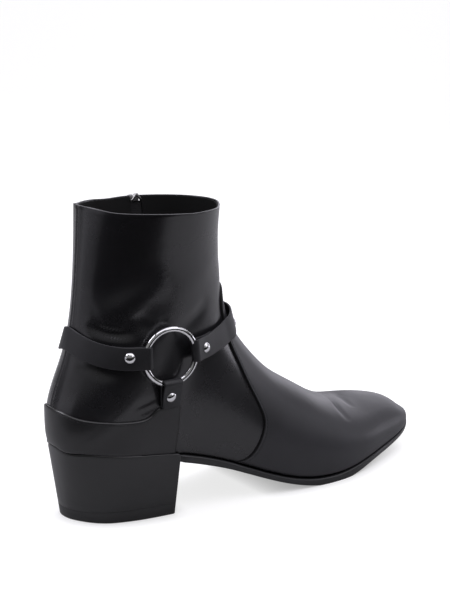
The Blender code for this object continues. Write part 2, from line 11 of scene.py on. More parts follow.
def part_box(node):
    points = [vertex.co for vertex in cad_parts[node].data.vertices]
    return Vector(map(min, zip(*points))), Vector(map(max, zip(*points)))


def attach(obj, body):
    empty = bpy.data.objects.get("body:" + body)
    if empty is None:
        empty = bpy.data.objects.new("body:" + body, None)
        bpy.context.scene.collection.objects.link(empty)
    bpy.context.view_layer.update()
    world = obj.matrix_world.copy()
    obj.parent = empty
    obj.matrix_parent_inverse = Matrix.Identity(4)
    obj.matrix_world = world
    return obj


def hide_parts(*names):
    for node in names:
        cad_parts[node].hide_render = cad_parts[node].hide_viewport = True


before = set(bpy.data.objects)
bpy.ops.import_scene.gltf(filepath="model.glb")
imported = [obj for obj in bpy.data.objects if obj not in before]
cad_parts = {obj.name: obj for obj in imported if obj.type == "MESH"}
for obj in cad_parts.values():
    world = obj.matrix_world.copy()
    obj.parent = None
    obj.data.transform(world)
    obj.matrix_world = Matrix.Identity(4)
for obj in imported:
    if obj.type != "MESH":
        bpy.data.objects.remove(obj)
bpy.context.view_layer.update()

# Upper: shaft and quarters in one wall of smooth black leather, closed at the back seam and pulled
# over the last. Its top edge is skived and folded, and the wear of fitting leaves soft folds at the
# ankle. Tables are in millimetres, x from the heel back to the toe, y inwards, z up from the floor.
MM = 0.001
CENTRE_X = 145.3
CENTRE_Y = 0.5
SECTION_COLUMNS = ("base_x", "base_z", "top_x", "top_z", "top_y", "base_lat", "base_med",
                   "wide_lat", "wide_med", "wide_at", "flank", "crown", "sole")
SECTIONS = {
    "toe_edge": (291.6, 20.9, 292.4, 21.8, 5.0, 2.5, 10.0, 2.6, 10.3, 0.06, 2.40, 1.9, 3.6),
    "toe_wall": (288.2, 19.1, 291.0, 22.8, 5.0, 8.3, 15.5, 8.5, 15.8, 0.07, 2.40, 1.9, 3.7),
    "toe_crown": (280.4, 16.5, 284.6, 27.1, 5.0, 16.3, 22.5, 16.8, 22.8, 0.09, 2.40, 1.85, 3.9),
    "toe_box": (267.0, 14.0, 273.2, 33.7, 5.0, 23.8, 32.0, 24.6, 32.8, 0.13, 2.40, 1.85, 4.4),
    "toe_back": (245.0, 11.5, 250.0, 38.7, 5.0, 32.5, 39.5, 33.5, 40.5, 0.17, 2.40, 1.95, 5.1),
    "vamp": (225.0, 9.3, 230.0, 40.4, 5.0, 39.7, 45.0, 40.7, 46.0, 0.22, 2.40, 2.1, 5.6),
    "ball": (197.0, 5.9, 206.0, 48.7, 5.0, 45.0, 46.0, 46.0, 47.0, 0.25, 2.40, 2.0, 7.0),
    "joint": (165.0, 8.1, 184.0, 61.6, 5.0, 43.9, 40.0, 44.9, 42.5, 0.28, 2.40, 2.0, 5.8),
    "instep_low": (135.0, 18.0, 165.5, 73.0, 4.0, 39.0, 31.0, 40.5, 36.5, 0.32, 2.40, 2.0, 5.5),
    "instep": (105.0, 30.8, 149.0, 87.6, 3.0, 34.4, 27.0, 36.9, 34.0, 0.36, 2.40, 2.0, 5.5),
    "throat": (70.0, 41.5, 130.8, 110.4, 2.0, 31.4, 29.5, 34.4, 34.0, 0.40, 2.40, 2.0, 5.5),
    "heel_side": (35.0, 46.8, 122.8, 130.0, 1.0, 30.0, 30.8, 33.4, 33.8, 0.36, 2.40, 2.1, 5.5),
    "heel_round": (10.0, 50.0, 121.6, 143.0, 0.5, 19.8, 21.3, 33.2, 33.5, 0.38, 2.40, 2.1, 5.5),
    "heel_back": (-1.2, 53.0, 121.2, 153.0, 0.0, 0.0, 0.0, 33.0, 33.0, 0.40, 2.40, 2.1, 5.5),
    "counter": (-2.2, 76.0, 120.2, 163.0, 0.0, 0.0, 0.0, 32.5, 32.5, 0.45, 2.20, 2.1, 5.5),
    "ankle": (9.0, 108.0, 119.5, 172.0, 0.0, 0.0, 0.0, 32.0, 32.0, 0.48, 1.95, 2.1, 5.5),
    "shaft": (16.6, 150.0, 118.8, 182.0, 0.0, 0.0, 0.0, 33.0, 33.0, 0.50, 1.85, 2.1, 5.5),
    "collar": (20.5, 199.4, 118.3, 197.8, 0.0, 0.0, 0.0, 39.6, 37.0, 0.46, 1.85, 2.1, 5.5),
}
HEEL_ROW = 13.0
LAST_ROW = len(SECTIONS) - 1.0
LOW_PART = 3.0 / 7.0
NARROW_FOOT = 12.0
RIM_ROWS = 0.6
BACK_PEAK = 2.4
BACK_PEAK_REACH = 0.07
SIDE_SAG = 2.0
SIDE_SAG_FULL = 0.6
SIDE_SAG_END = 0.06
INNER_DIP = 0.9
INNER_DIP_AT = 0.41
INNER_DIP_REACH = 0.11
NORMAL_STEP = 0.004
AT_SEAM = 0.9995
LEVEL_FOOT = 0.04
LEVEL_TOE = 0.05
LEVEL_RIM = 0.4

# Soft folds: start, middle and end on the skin, then depth (outward when negative) and width.
CREASES = (
    ((225.0, 9.0, 42.0), (213.0, -17.0, 42.5), (212.0, -34.0, 35.0), 1.1, 3.4),
    ((240.0, 13.0, 39.0), (231.0, -5.0, 39.6), (228.5, -19.0, 37.2), 0.9, 3.0),
    ((225.0, 9.0, 42.0), (217.0, 27.0, 40.0), (214.0, 38.0, 33.0), 0.9, 3.8),
    ((17.0, -11.0, 130.0), (28.0, -23.7, 125.0), (40.0, -29.0, 125.5), 1.2, 3.4),
    ((15.0, -11.0, 124.5), (27.0, -24.0, 120.4), (43.0, -30.0, 117.2), -1.1, 3.7),
    ((42.8, -28.8, 136.6), (51.0, -31.5, 128.5), (63.0, -32.3, 126.0), 1.2, 6.0),
    ((22.0, -18.0, 132.0), (38.0, -27.0, 142.5), (64.0, -32.0, 157.0), -2.2, 11.0),
    ((72.0, -31.0, 126.0), (87.0, -28.5, 128.5), (99.0, -25.0, 139.0), 0.9, 6.0),
    ((10.0, -10.0, 106.5), (20.0, -23.0, 101.5), (32.0, -30.0, 98.0), 0.9, 3.6),
    ((37.0, -32.3, 78.0), (47.0, -33.2, 79.5), (58.0, -33.6, 82.5), 0.4, 2.6),
    ((41.0, -32.5, 73.5), (48.0, -33.0, 74.5), (57.0, -33.4, 77.5), 0.3, 2.0),
    ((77.0, -31.0, 119.0), (72.0, -33.0, 100.0), (61.0, -33.8, 70.0), -1.1, 10.0),
    ((18.0, 12.0, 128.0), (30.0, 25.0, 123.0), (44.0, 30.0, 127.0), 1.1, 4.0),
    ((30.0, 24.0, 138.0), (48.0, 30.5, 134.0), (66.0, 32.0, 137.0), 0.8, 6.0),
)
FOLD_STEPS = 70
FOLD_REACH = 3.0
FOLD_FADE = 0.7
FOLD_SHOULDER = 0.55
WALL = 1.3
RIM_ROLL = ((0.06, 0.22), (0.32, 0.42))
WELD = 0.000002
SHARP_DEG = 50.0
PORE_SCALE = 1500.0
PORE_SHARE = 0.35
WRINKLE_SCALE = 420.0
WRINKLE_SHARE = 0.5
GRAIN_DEPTH = 0.00002
SWAY_SCALE = 60.0
SWAY_STRENGTH = 0.5
SWAY_DEPTH = 0.0004
POLISH_SCALE = 24.0
POLISH_GLOSS = 0.14
WRINKLE_GLOSS = 0.03
MEAN_GLOSS = 0.085
HUE_RANGE = (0.55, 1.35)


def held(value):
    """A value held between 0 and 1."""
    return np.clip(value, 0.0, 1.0)


def hump(value):
    """A smooth rise to 1 where the value is 0."""
    return np.exp(-value ** 2)


def unit(vectors):
    """Directions of length 1."""
    return vectors / np.maximum(np.linalg.norm(vectors, axis=-1, keepdims=True), 1e-12)


def natural_spline(values):
    """Natural cubic spline through values at whole numbers."""
    values = np.asarray(values, float)
    count = len(values)
    system = np.eye(count)
    right = np.zeros(count)
    for i in range(1, count - 1):
        system[i, i - 1:i + 2] = (1.0, 4.0, 1.0)
        right[i] = 6.0 * (values[i - 1] - 2.0 * values[i] + values[i + 1])
    bend = np.linalg.solve(system, right)

    def value(u):
        u = np.asarray(u, float)
        i = np.clip(u.astype(int), 0, count - 2)
        b = u - i
        a = 1.0 - b
        return (a * values[i] + b * values[i + 1]
                + (a ** 3 - a) * bend[i] / 6.0 + (b ** 3 - b) * bend[i + 1] / 6.0)

    return value


def foot_width(name):
    """Half width of the feather line, splined as its square so that the heel closes round."""
    at = SECTION_COLUMNS.index(name)
    square = [row[at] ** 2 for row in SECTIONS.values()][:int(HEEL_ROW)]
    curve = natural_spline(square + [0.0] + [-v for v in square[:-4:-1]])
    return lambda u: np.sqrt(np.maximum(curve(np.minimum(u, HEEL_ROW)), 0.0))


COLUMN = {name: natural_spline([row[i] for row in SECTIONS.values()])
          for i, name in enumerate(SECTION_COLUMNS)}
COLUMN["base_lat"] = foot_width("base_lat")
COLUMN["base_med"] = foot_width("base_med")


def last_point(u, t):
    """Point of the form: u counts sections from the toe, t is -1 outer foot, 0 ridge, 1 inner foot."""
    u, t = np.broadcast_arrays(np.asarray(u, float), np.asarray(t, float))
    row = {name: curve(u) for name, curve in COLUMN.items()}
    side = np.where(t < 0.0, -1.0, 1.0)
    height = 1.0 - np.abs(t)
    foot = np.where(t < 0.0, row["base_lat"], row["base_med"])
    foot = np.where(u >= HEEL_ROW, 0.0, foot)
    wide = np.where(t < 0.0, row["wide_lat"], row["wide_med"])
    low = held(height / LOW_PART)
    high = held((height - LOW_PART) / (1.0 - LOW_PART)) * math.pi / 2.0
    power = 2.0 / row["crown"]
    spread = held(foot / NARROW_FOOT)
    part = spread * low + (1.0 - spread) * (1.0 - np.cos(low * math.pi / 2.0))
    bend = row["flank"]
    grow = np.maximum(wide ** bend - foot ** bend, 0.0)
    out_low = (foot ** bend + grow * (1.0 - (1.0 - part) ** 2)) ** (1.0 / bend)
    ridge = side * row["top_y"]
    out_high = ridge + (wide - ridge) * held(np.cos(high)) ** power
    rise_high = row["wide_at"] + (1.0 - row["wide_at"]) * np.sin(high) ** power
    out = np.where(height < LOW_PART, out_low, out_high)
    rise = np.where(height < LOW_PART, row["wide_at"] * part, rise_high)
    x = row["base_x"] + (row["top_x"] - row["base_x"]) * rise
    z = row["base_z"] + (row["top_z"] - row["base_z"]) * rise
    sag = held(rise / SIDE_SAG_FULL) ** 2 * (1.0 - hump((1.0 - rise) / SIDE_SAG_END))
    dip = hump((rise - INNER_DIP_AT) / INNER_DIP_REACH)
    lip = BACK_PEAK * hump(rise / BACK_PEAK_REACH) - np.where(t < 0.0, SIDE_SAG * sag, INNER_DIP * dip)
    z = z + lip * held((u - LAST_ROW + RIM_ROWS) / RIM_ROWS) ** 2
    return np.stack([x, side * out, z], axis=-1)


def last_normal(u, t):
    """Outward normal of the form, turning level towards the feather line and the collar."""
    u, t = np.broadcast_arrays(np.asarray(u, float), np.asarray(t, float))
    along = last_point(np.clip(u + NORMAL_STEP, 0.0, LAST_ROW), t)
    along = along - last_point(np.clip(u - NORMAL_STEP, 0.0, LAST_ROW), t)
    around = last_point(u, np.clip(t + NORMAL_STEP, -1.0, 1.0))
    around = around - last_point(u, np.clip(t - NORMAL_STEP, -1.0, 1.0))
    normal = unit(np.cross(around, along))
    seam = (np.abs(t) > AT_SEAM) & (u >= HEEL_ROW)
    normal[..., 1] = np.where(seam, 0.0, normal[..., 1])
    normal[..., 0] = np.where(seam, -np.abs(normal[..., 0]), normal[..., 0])
    near_foot = np.where(u <= HEEL_ROW, held((np.abs(t) - 1.0) / LEVEL_FOOT + 1.0), 0.0)
    near_edge = held(np.maximum(1.0 - u / LEVEL_TOE, (u - LAST_ROW) / LEVEL_RIM + 1.0))
    normal[..., 2] *= 1.0 - np.maximum(near_foot, near_edge)
    return unit(normal)


def fold_depth(points):
    """How far the folds sink each point of the skin: troughs with raised shoulders, fading at the ends."""
    total = np.zeros(points.shape[:-1])
    share = np.linspace(0.0, 1.0, FOLD_STEPS)
    for start, middle, end, depth, width in CREASES:
        start, middle, end = (np.array(p) for p in (start, middle, end))
        bow = 2.0 * middle - (start + end) / 2.0
        line = (np.outer((1.0 - share) ** 2, start) + np.outer(2.0 * share * (1.0 - share), bow)
                + np.outer(share ** 2, end))
        reach = FOLD_REACH * width
        near = np.all((points > line.min(0) - reach) & (points < line.max(0) + reach), axis=-1)
        if not near.any():
            continue
        gap = np.linalg.norm(points[near][:, None, :] - line[None, :, :], axis=-1)
        closest = gap.argmin(axis=1)
        run = np.gradient(line, share, axis=0)[closest]
        speed = np.linalg.norm(run, axis=1)
        along = np.sum((points[near] - line[closest]) * run, axis=1) / speed
        at = held(share[closest] + along / speed)
        along = np.where((at > 0.0) & (at < 1.0), along, 0.0)
        square = np.maximum(gap.min(axis=1) ** 2 - along ** 2, 0.0) / width ** 2
        fade = np.sin(math.pi * at) ** FOLD_FADE
        total[near] += depth * fade * np.exp(-square) * (1.0 - FOLD_SHOULDER * square)
    return total


def skin(u, t, lift):
    """Points on the boot's outer face with its folds, raised by a lift."""
    base = last_point(u, t)
    return base + last_normal(u, t) * (lift - fold_depth(base))[..., None]


def row_frame(points):
    """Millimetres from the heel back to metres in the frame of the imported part."""
    return (np.asarray(points, float) - (CENTRE_X, CENTRE_Y, 0.0)) * MM


def from_frame(points):
    """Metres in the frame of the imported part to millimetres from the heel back."""
    return np.asarray(points, float) / MM + (CENTRE_X, CENTRE_Y, 0.0)


def wall(outer, inner, welded_from=None):
    """Points and faces of a closed wall between two grids of points.

    From the row welded_from on, the first and last column meet in a seam and need no edge of their own."""
    rows, columns = outer.shape[:2]
    spot = np.arange(rows * columns).reshape(rows, columns)
    under = spot + rows * columns
    strips = [(spot[:-1, :-1], spot[:-1, 1:], spot[1:, 1:], spot[1:, :-1]),
              (under[:-1, :-1], under[1:, :-1], under[1:, 1:], under[:-1, 1:])]
    for i in (0, rows - 1):
        strips.append((spot[i, :-1], spot[i, 1:], under[i, 1:], under[i, :-1]))
    last = rows if welded_from is None else welded_from + 1
    for j in (0, columns - 1):
        strips.append((spot[:last - 1, j], spot[1:last, j], under[1:last, j], under[:last - 1, j]))
    faces = np.vstack([np.stack([corner.ravel() for corner in strip], axis=1) for strip in strips])
    return np.vstack([outer.reshape(-1, 3), inner.reshape(-1, 3)]), faces


def put_in_scene(name, data):
    """An object of its own for a mesh, a light or a camera."""
    made = bpy.data.objects.new(name, data)
    bpy.context.scene.collection.objects.link(made)
    return made


def mesh_piece(name, points, faces, *materials, marks=None):
    """A closed smooth-shaded piece from points in millimetres, its seams welded and faces turned out.

    Marks are values for each point, such as how much of it lies on a finished edge."""
    mesh = bpy.data.meshes.new(name)
    mesh.from_pydata(row_frame(points).tolist(), [], [list(map(int, face)) for face in faces])
    for mark, values in (marks or {}).items():
        attribute = mesh.attributes.new(mark, "FLOAT", "POINT")
        attribute.data.foreach_set("value", np.ravel(values).astype(np.float32))
    work = bmesh.new()
    work.from_mesh(mesh)
    bmesh.ops.remove_doubles(work, verts=work.verts, dist=WELD)
    bmesh.ops.dissolve_degenerate(work, edges=work.edges, dist=WELD / 2.0)
    bmesh.ops.recalc_face_normals(work, faces=work.faces)
    work.to_mesh(mesh)
    work.free()
    mesh.shade_smooth()
    mesh.set_sharp_from_angle(angle=math.radians(SHARP_DEG))
    for material in materials:
        mesh.materials.append(material)
    return put_in_scene(name, mesh)


def subtract(piece, cutter):
    """Cut one closed piece out of another and drop the cutter."""
    step = piece.modifiers.new("cut", "BOOLEAN")
    step.operation = "DIFFERENCE"
    step.solver = "MANIFOLD"
    step.object = cutter
    cut = bpy.data.meshes.new_from_object(piece.evaluated_get(bpy.context.evaluated_depsgraph_get()))
    piece.modifiers.remove(step)
    piece.data = cut
    bpy.data.objects.remove(cutter)
    cut.set_sharp_from_angle(angle=math.radians(SHARP_DEG))


class Shade:
    """One socket of a material; sums on it add Math nodes, and node() adds any other kind."""

    def __init__(self, tree, socket=None):
        self.tree = tree
        self.socket = socket

    def node(self, kind, settings=None, values=None, output=0):
        """Add a node: its settings first, then the values or links of its sockets."""
        made = self.tree.nodes.new(kind)
        for name, value in (settings or {}).items():
            setattr(made, name, value)
        for name, value in (values or {}).items():
            if isinstance(value, Shade):
                self.tree.links.new(value.socket, made.inputs[name])
            else:
                made.inputs[name].default_value = value
        return Shade(self.tree, made.outputs[output])

    def math(self, operation, first, second):
        """One Math node."""
        return self.node("ShaderNodeMath", {"operation": operation}, {0: first, 1: second})

    def mix(self, share, first, second):
        """A colour between two, each a colour of the surface or three values."""
        ends = [end if isinstance(end, Shade) else (*end, 1.0) for end in (first, second)]
        return self.node("ShaderNodeMix", {"data_type": "RGBA"}, {0: share, 6: ends[0], 7: ends[1]}, output=2)

    def noise(self, place, scale, detail):
        """Cloudy noise over a place."""
        return self.node("ShaderNodeTexNoise", {}, {"Vector": place, "Scale": scale, "Detail": detail})

    def bump(self, height, strength, depth, under=None):
        """A bumped normal, laid over another one where that is given."""
        values = {"Strength": strength, "Distance": depth, "Height": height}
        if under is not None:
            values["Normal"] = under
        return self.node("ShaderNodeBump", {}, values)

    def __add__(self, other):
        return self.math("ADD", self, other)

    def __sub__(self, other):
        return self.math("SUBTRACT", self, other)

    def __rsub__(self, other):
        return self.math("SUBTRACT", other, self)

    def __mul__(self, other):
        return self.math("MULTIPLY", self, other)

    __radd__ = __add__
    __rmul__ = __mul__


def finish(name, colour, roughness, metallic=0.0, coat=0.0, coat_roughness=0.2, specular=0.5):
    """A Principled material with its even values set, its tree and its shader node."""
    made = bpy.data.materials.new(name)
    made.use_nodes = True
    shader = made.node_tree.nodes["Principled BSDF"]
    shader.inputs["Base Color"].default_value = (*colour, 1.0)
    shader.inputs["Roughness"].default_value = roughness
    shader.inputs["Metallic"].default_value = metallic
    shader.inputs["Coat Weight"].default_value = coat
    shader.inputs["Coat Roughness"].default_value = coat_roughness
    shader.inputs["Specular IOR Level"].default_value = specular
    return made, Shade(made.node_tree), shader


def feed(shade, shader, **links):
    """Link what varies over a surface to its sockets."""
    for name, value in links.items():
        shade.tree.links.new(value.socket, shader.inputs[name.replace("_", " ")])


def leather(name, colour, roughness, coat, grain, edges=(), specular=0.5):
    """Smooth finished hide: pores and faint wrinkles in the bump, a hand-polished unevenness in the gloss.

    Edges are the marks of finished edges on the piece, each with its tone and roughness; the tones paint ink
    with painted shade onto cut edges and a painted highlight onto burnished ones."""
    made, shade, shader = finish(name, colour, roughness, coat=coat, specular=specular)
    place = shade.node("ShaderNodeTexCoord", output="Object")
    pores = shade.node("ShaderNodeTexVoronoi", {"feature": "F1"}, {"Vector": place, "Scale": PORE_SCALE})
    wrinkle = shade.noise(place, WRINKLE_SCALE, 4.0)
    sway = shade.noise(place, SWAY_SCALE, 2.0)
    polish = shade.noise(place, POLISH_SCALE, 3.0)
    fine = shade.bump(pores * PORE_SHARE + wrinkle * WRINKLE_SHARE, grain, GRAIN_DEPTH)
    broad = shade.bump(sway, SWAY_STRENGTH, SWAY_DEPTH, fine)
    gloss = polish * POLISH_GLOSS + wrinkle * WRINKLE_GLOSS + (roughness - MEAN_GLOSS)
    hue = shade.mix(polish, *([share * c for c in colour] for share in HUE_RANGE))
    # Each edge mark paints its tone over the leather: near-black ink with painted shade on cut edges, a
    # lighter painted highlight on burnished edges.
    for mark, tone, edge_roughness in edges:
        cut = shade.node("ShaderNodeAttribute", {"attribute_name": mark}, output="Fac")
        gloss = gloss + cut * (edge_roughness - roughness)
        hue = shade.mix(cut, hue, (tone, tone, tone))
    feed(shade, shader, Base_Color=hue, Roughness=gloss, Normal=broad)
    return made


def dress(piece, body, slot, *nodes):
    """The piece rides its body and stands for its solids; the slot is not used."""
    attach(piece, body)
    if nodes:
        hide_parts(*nodes)


UPPER_LEATHER = leather("quarter_leather", (0.0165, 0.0162, 0.0182), 0.27, 0.35, 0.04)

FOOT_STEPS = (0.0, 0.0015, 0.003, 0.0045, 0.006, 0.009, 0.013, 0.018, 0.024, 0.032, 0.042, 0.054)
side_steps = np.concatenate([FOOT_STEPS, np.linspace(0.068, 1.0, 70)])
upper_t = np.concatenate([side_steps - 1.0, 1.0 - side_steps[-2::-1]])
upper_u = np.concatenate([np.linspace(0.0, 8.0, 45), np.linspace(8.0, HEEL_ROW, 81)[1:],
                          np.linspace(HEEL_ROW, LAST_ROW, 91)[1:]])
FOOT_TUCK = 0.6
FOOT_TUCK_BAND = 0.05
SEAM_Y = 1.3
SEAM_GROOVE = 0.5
SEAM_GROOVE_REACH = 0.45
SWELLING_LOW = 0.15
SWELLING_GAIN = 0.2
SWELLING_ROW = 14.6
SWELLING_AT = 1.7
SWELLING_REACH = 1.0
SEAM_START_ROWS = 0.4


def back_seam(u, t):
    """Height of the closed seam up the back: a fine groove between two soft swellings."""
    away = np.abs(last_point(u, t)[..., 1] - SEAM_Y)
    swelling = SWELLING_LOW + SWELLING_GAIN * held(u - SWELLING_ROW)
    groove = SEAM_GROOVE * hump(away / SEAM_GROOVE_REACH)
    shape = swelling * hump((away - SWELLING_AT) / SWELLING_REACH) - groove
    return np.where(np.abs(t) > 0.9, shape * held((u - HEEL_ROW) / SEAM_START_ROWS), 0.0)


def upper_sheet(face, roll_side):
    """One face of the upper's wall and its half of the rolled top edge."""
    u = upper_u[:, None]
    t = upper_t[None, :]
    tuck = FOOT_TUCK * held((np.abs(t) - 1.0) / FOOT_TUCK_BAND + 1.0) ** 2
    sheet = skin(u, t, face + back_seam(u, t) - np.where(u <= HEEL_ROW, tuck, 0.0))
    rolls = []
    for draw, rise in RIM_ROLL:
        roll = skin(upper_u[-1:, None], t, face + roll_side * draw + 0.0 * t)
        roll[..., 2] += rise
        rolls.append(roll)
    return np.concatenate([sheet] + rolls, axis=0)


upper_seam_row = int(np.argmin(np.abs(upper_u - HEEL_ROW)))
upper = mesh_piece("upper_wall", *wall(upper_sheet(0.0, -1.0), upper_sheet(-WALL, 1.0), upper_seam_row),
                   UPPER_LEATHER)

ZIP_TOP_X = 81.5
ZIP_FOOT_X = 86.0
ZIP_FOOT_Z = 62.0
ZIP_HEAD_Z = 197.0
ZIP_SLOT = 7.0
CUTTER_TOP_Z = 215.0
CUTTER_Y = (15.0, 60.0)


def zip_x(z):
    """Middle of the leaning zip slit at a height."""
    return ZIP_FOOT_X + (ZIP_TOP_X - ZIP_FOOT_X) * (z - ZIP_FOOT_Z) / (ZIP_HEAD_Z - ZIP_FOOT_Z)


def zip_cutter(width):
    """Block that opens the zip slit through the inner side."""
    corners = ((ZIP_FOOT_Z, -1.0), (ZIP_FOOT_Z, 1.0), (CUTTER_TOP_Z, 1.0), (CUTTER_TOP_Z, -1.0))
    outline = [(zip_x(z) + side * width / 2.0, z) for z, side in corners]
    points = [(x, y, z) for y in CUTTER_Y for x, z in outline]
    faces = [(0, 1, 2, 3), (7, 6, 5, 4), (0, 4, 5, 1), (1, 5, 6, 2), (2, 6, 7, 3), (3, 7, 4, 0)]
    return mesh_piece("zip_cutter", points, faces)


subtract(upper, zip_cutter(ZIP_SLOT))
dress(upper, "boot", "upper_leather", "upper")

# Lining: thin black kid glued inside the wall, its edge turned in just below the folded collar.
# It hides the wall's inner face all the way down to the sock.
LINING_LEATHER = leather("lining_leather", (0.0055, 0.0053, 0.0053), 0.6, 0.0, 0.3, specular=0.3)
LINING_GLUE = 0.05
LINING_PLY = 0.6
LINING_DROP = 0.5
LINING_DROP_ROWS = 0.3
LINING_EASE = 0.6
LINING_SEAM_ROW = 69
lining_u = np.concatenate([np.linspace(1.0, HEEL_ROW, LINING_SEAM_ROW + 1),
                           np.linspace(HEEL_ROW, LAST_ROW, 50)[1:]])
lining_t = np.linspace(-1.0, 1.0, 91)


def lining_sheet(lift):
    """One face of the lining, its head a little below the collar."""
    sheet = skin(lining_u[:, None], lining_t[None, :], lift)
    sheet[..., 2] -= LINING_DROP * held((lining_u[:, None] - LAST_ROW) / LINING_DROP_ROWS + 1.0)
    return sheet


lining_face = -WALL - LINING_GLUE
lining = mesh_piece("shaft_lining", *wall(lining_sheet(lining_face), lining_sheet(lining_face - LINING_PLY),
                                    LINING_SEAM_ROW), LINING_LEATHER)
subtract(lining, zip_cutter(ZIP_SLOT + LINING_EASE))
dress(lining, "boot", "lining_leather")


# Insole: a leather sock on the insole board, trimmed to the inside of the feather line.
# Its edge is rolled down against the lining.
def feather_lines(u, spread, drop):
    """Outer and inner feather line, moved sideways by a spread and lowered by a drop."""
    lines = []
    for side in (-1.0, 1.0):
        t = np.full_like(u, side)
        line = last_point(u, t) + last_normal(u, t) * (spread + np.zeros_like(u))[:, None]
        line[:, 2] = np.maximum(line[:, 2] - drop, 0.0)
        lines.append(line)
    return lines


def ladder(levels):
    """Points and faces of a closed solid of levels from head to foot.

    Each level is an outer and an inner line that meet at the back, and strips close the head and the foot."""
    count = len(levels[0][0])
    points = [np.vstack(level) for level in levels]
    faces = []
    for level in range(len(levels) - 1):
        high = 2 * count * level
        low = high + 2 * count
        for side in (0, count):
            faces += [(high + side + i, high + side + i + 1, low + side + i + 1, low + side + i)
                      for i in range(count - 1)]
        faces.append((high, high + count, low + count, low))
    for base in (0, 2 * count * (len(levels) - 1)):
        faces += [(base + i, base + i + 1, base + count + i + 1, base + count + i) for i in range(count - 1)]
    return np.vstack(points), faces


def round_heel(count):
    """Section numbers round the heel, closer together towards its back."""
    return HEEL_ROW - 2.0 * np.linspace(1.0, 0.0, count)[1:] ** 2


SOCK_EDGE = ((3.8, 3.1), (3.0, 2.9), (2.5, 2.4), (2.4, 0.3))
sock_u = np.concatenate([np.linspace(2.3, 11.0, 90), round_heel(50)])
sock_levels = [feather_lines(sock_u, -inset, -rise) for inset, rise in SOCK_EDGE]
sock = mesh_piece("insole_sock", *ladder(sock_levels), LINING_LEATHER)
dress(sock, "boot", "lining_leather", "insole")

# Vamp: a second layer lapped over the quarters, lasted over the toe and drawn up the instep to a peak.
# Its cut edge faces back and is inked black, painted darker than the leather as painted shade of the shadowed
# edge, with one row of stitching just inside it.
VAMP_SEAM = ((124.0, 146.0), (119.5, 140.5), (116.0, 133.0), (115.0, 121.0), (117.6, 105.0), (122.0, 92.0),
             (126.2, 79.4), (131.3, 67.0), (134.6, 57.5), (135.2, 51.0), (133.2, 44.2), (128.7, 35.4),
             (121.5, 28.6), (112.0, 26.0), (100.0, 20.0))
OVERLAY = 1.6
LAP = 0.15
UNDERSIDE = 0.1
TOE_TURN = 0.5
FEATHER_TUCK = 1.4
FEATHER_TUCK_BAND = 0.055
STITCH_INSET = 1.9
STITCH_GROOVE = 0.16
STITCH_GROOVE_REACH = 0.5
VAMP_SIDE_POINTS = 105
VAMP_BODY_ROWS = 128
VAMP_EDGE_BAND = 7.0
VAMP_EDGE_ROUND = 0.5
VAMP_INK_SHADE_WIDTH = 0.45
VAMP_EDGE = (6.0, 4.6, 3.5, 2.8, 2.3, 1.9, 1.5, 1.1, 0.8, 0.55, 0.35, 0.2, 0.08, 0.0)
SEARCH_GRID = (240, 200)
SEARCH_ROUNDS = 14
SEARCH_SHRINK = 0.6
LINE_STEPS = 1500
MEET_STEPS = 900
VAMP_RIDGE_U = (8.0, 16.0)
VAMP_FOOT_U = (5.0, 12.5)
VAMP_SEAM_U = (5.0, 16.0)
OFF_RIDGE = 0.001
SPEED_STEP = 0.005


def find_spots(measure, targets, u_range, t_range):
    """Places (u, t) on the form whose measure comes closest to each target pair."""
    grid = [np.linspace(*span, count) for span, count in zip((u_range, t_range), SEARCH_GRID)]
    u, t = np.meshgrid(*grid, indexing="ij")
    marks = measure(last_point(u, t)).reshape(-1, 2)
    tree = KDTree(len(marks))
    for i, mark in enumerate(marks):
        tree.insert((mark[0], mark[1], 0.0), i)
    tree.balance()
    first = np.array([tree.find((a, b, 0.0))[1] for a, b in targets])
    at_u, at_t = u.ravel()[first], t.ravel()[first]
    reach_u = (u_range[1] - u_range[0]) / SEARCH_GRID[0]
    reach_t = (t_range[1] - t_range[0]) / SEARCH_GRID[1]
    step_u, step_t = (s.ravel() for s in np.meshgrid(np.linspace(-1.0, 1.0, 5), np.linspace(-1.0, 1.0, 5)))
    for _ in range(SEARCH_ROUNDS):
        try_u = np.clip(at_u[:, None] + step_u * reach_u, *u_range)
        try_t = np.clip(at_t[:, None] + step_t * reach_t, *t_range)
        miss = np.linalg.norm(measure(last_point(try_u, try_t)) - targets[:, None, :], axis=-1)
        pick = miss.argmin(axis=1)
        rows = np.arange(len(pick))
        at_u, at_t = try_u[rows, pick], try_t[rows, pick]
        reach_u, reach_t = reach_u * SEARCH_SHRINK, reach_t * SEARCH_SHRINK
    return at_u, at_t


def side_view(points):
    """Side view of points: x and z."""
    return points[..., [0, 2]]


def drawn_line(table):
    """Smooth line in the side view through a table of points."""
    at = np.linspace(0.0, len(table) - 1.0, LINE_STEPS)
    return np.stack([natural_spline([row[i] for row in table])(at) for i in (0, 1)], axis=-1)


def meet(line, u, t):
    """Where a drawn line comes closest to a line of the form: its index and the section number."""
    gap = np.linalg.norm(line[:, None] - side_view(last_point(u, t))[None], axis=-1)
    i, j = np.unravel_index(gap.argmin(), gap.shape)
    return i, u[j]


def evenly(line, count):
    """Points at even distances along a line."""
    run = np.concatenate([[0.0], np.cumsum(np.linalg.norm(np.diff(line, axis=0), axis=1))])
    at = np.linspace(0.0, run[-1], count)
    return np.stack([np.interp(at, run, line[:, i]) for i in range(line.shape[1])], axis=-1)


def vamp_seam(side, count):
    """Places along the vamp's back edge on one side, from the ridge down to the feather line."""
    line = drawn_line(VAMP_SEAM)
    first, u_first = meet(line, np.linspace(*VAMP_RIDGE_U, MEET_STEPS), 0.0)
    last, u_last = meet(line, np.linspace(*VAMP_FOOT_U, MEET_STEPS), side)
    marks = evenly(line[first:last + 1], count)
    t_range = (-1.0, -OFF_RIDGE) if side < 0.0 else (OFF_RIDGE, 1.0)
    u, t = find_spots(side_view, marks[1:-1], VAMP_SEAM_U, t_range)
    t = side * np.maximum.accumulate(np.abs(t))
    return np.concatenate([[u_first], u, [u_last]]), np.concatenate([[0.0], t, [side]])


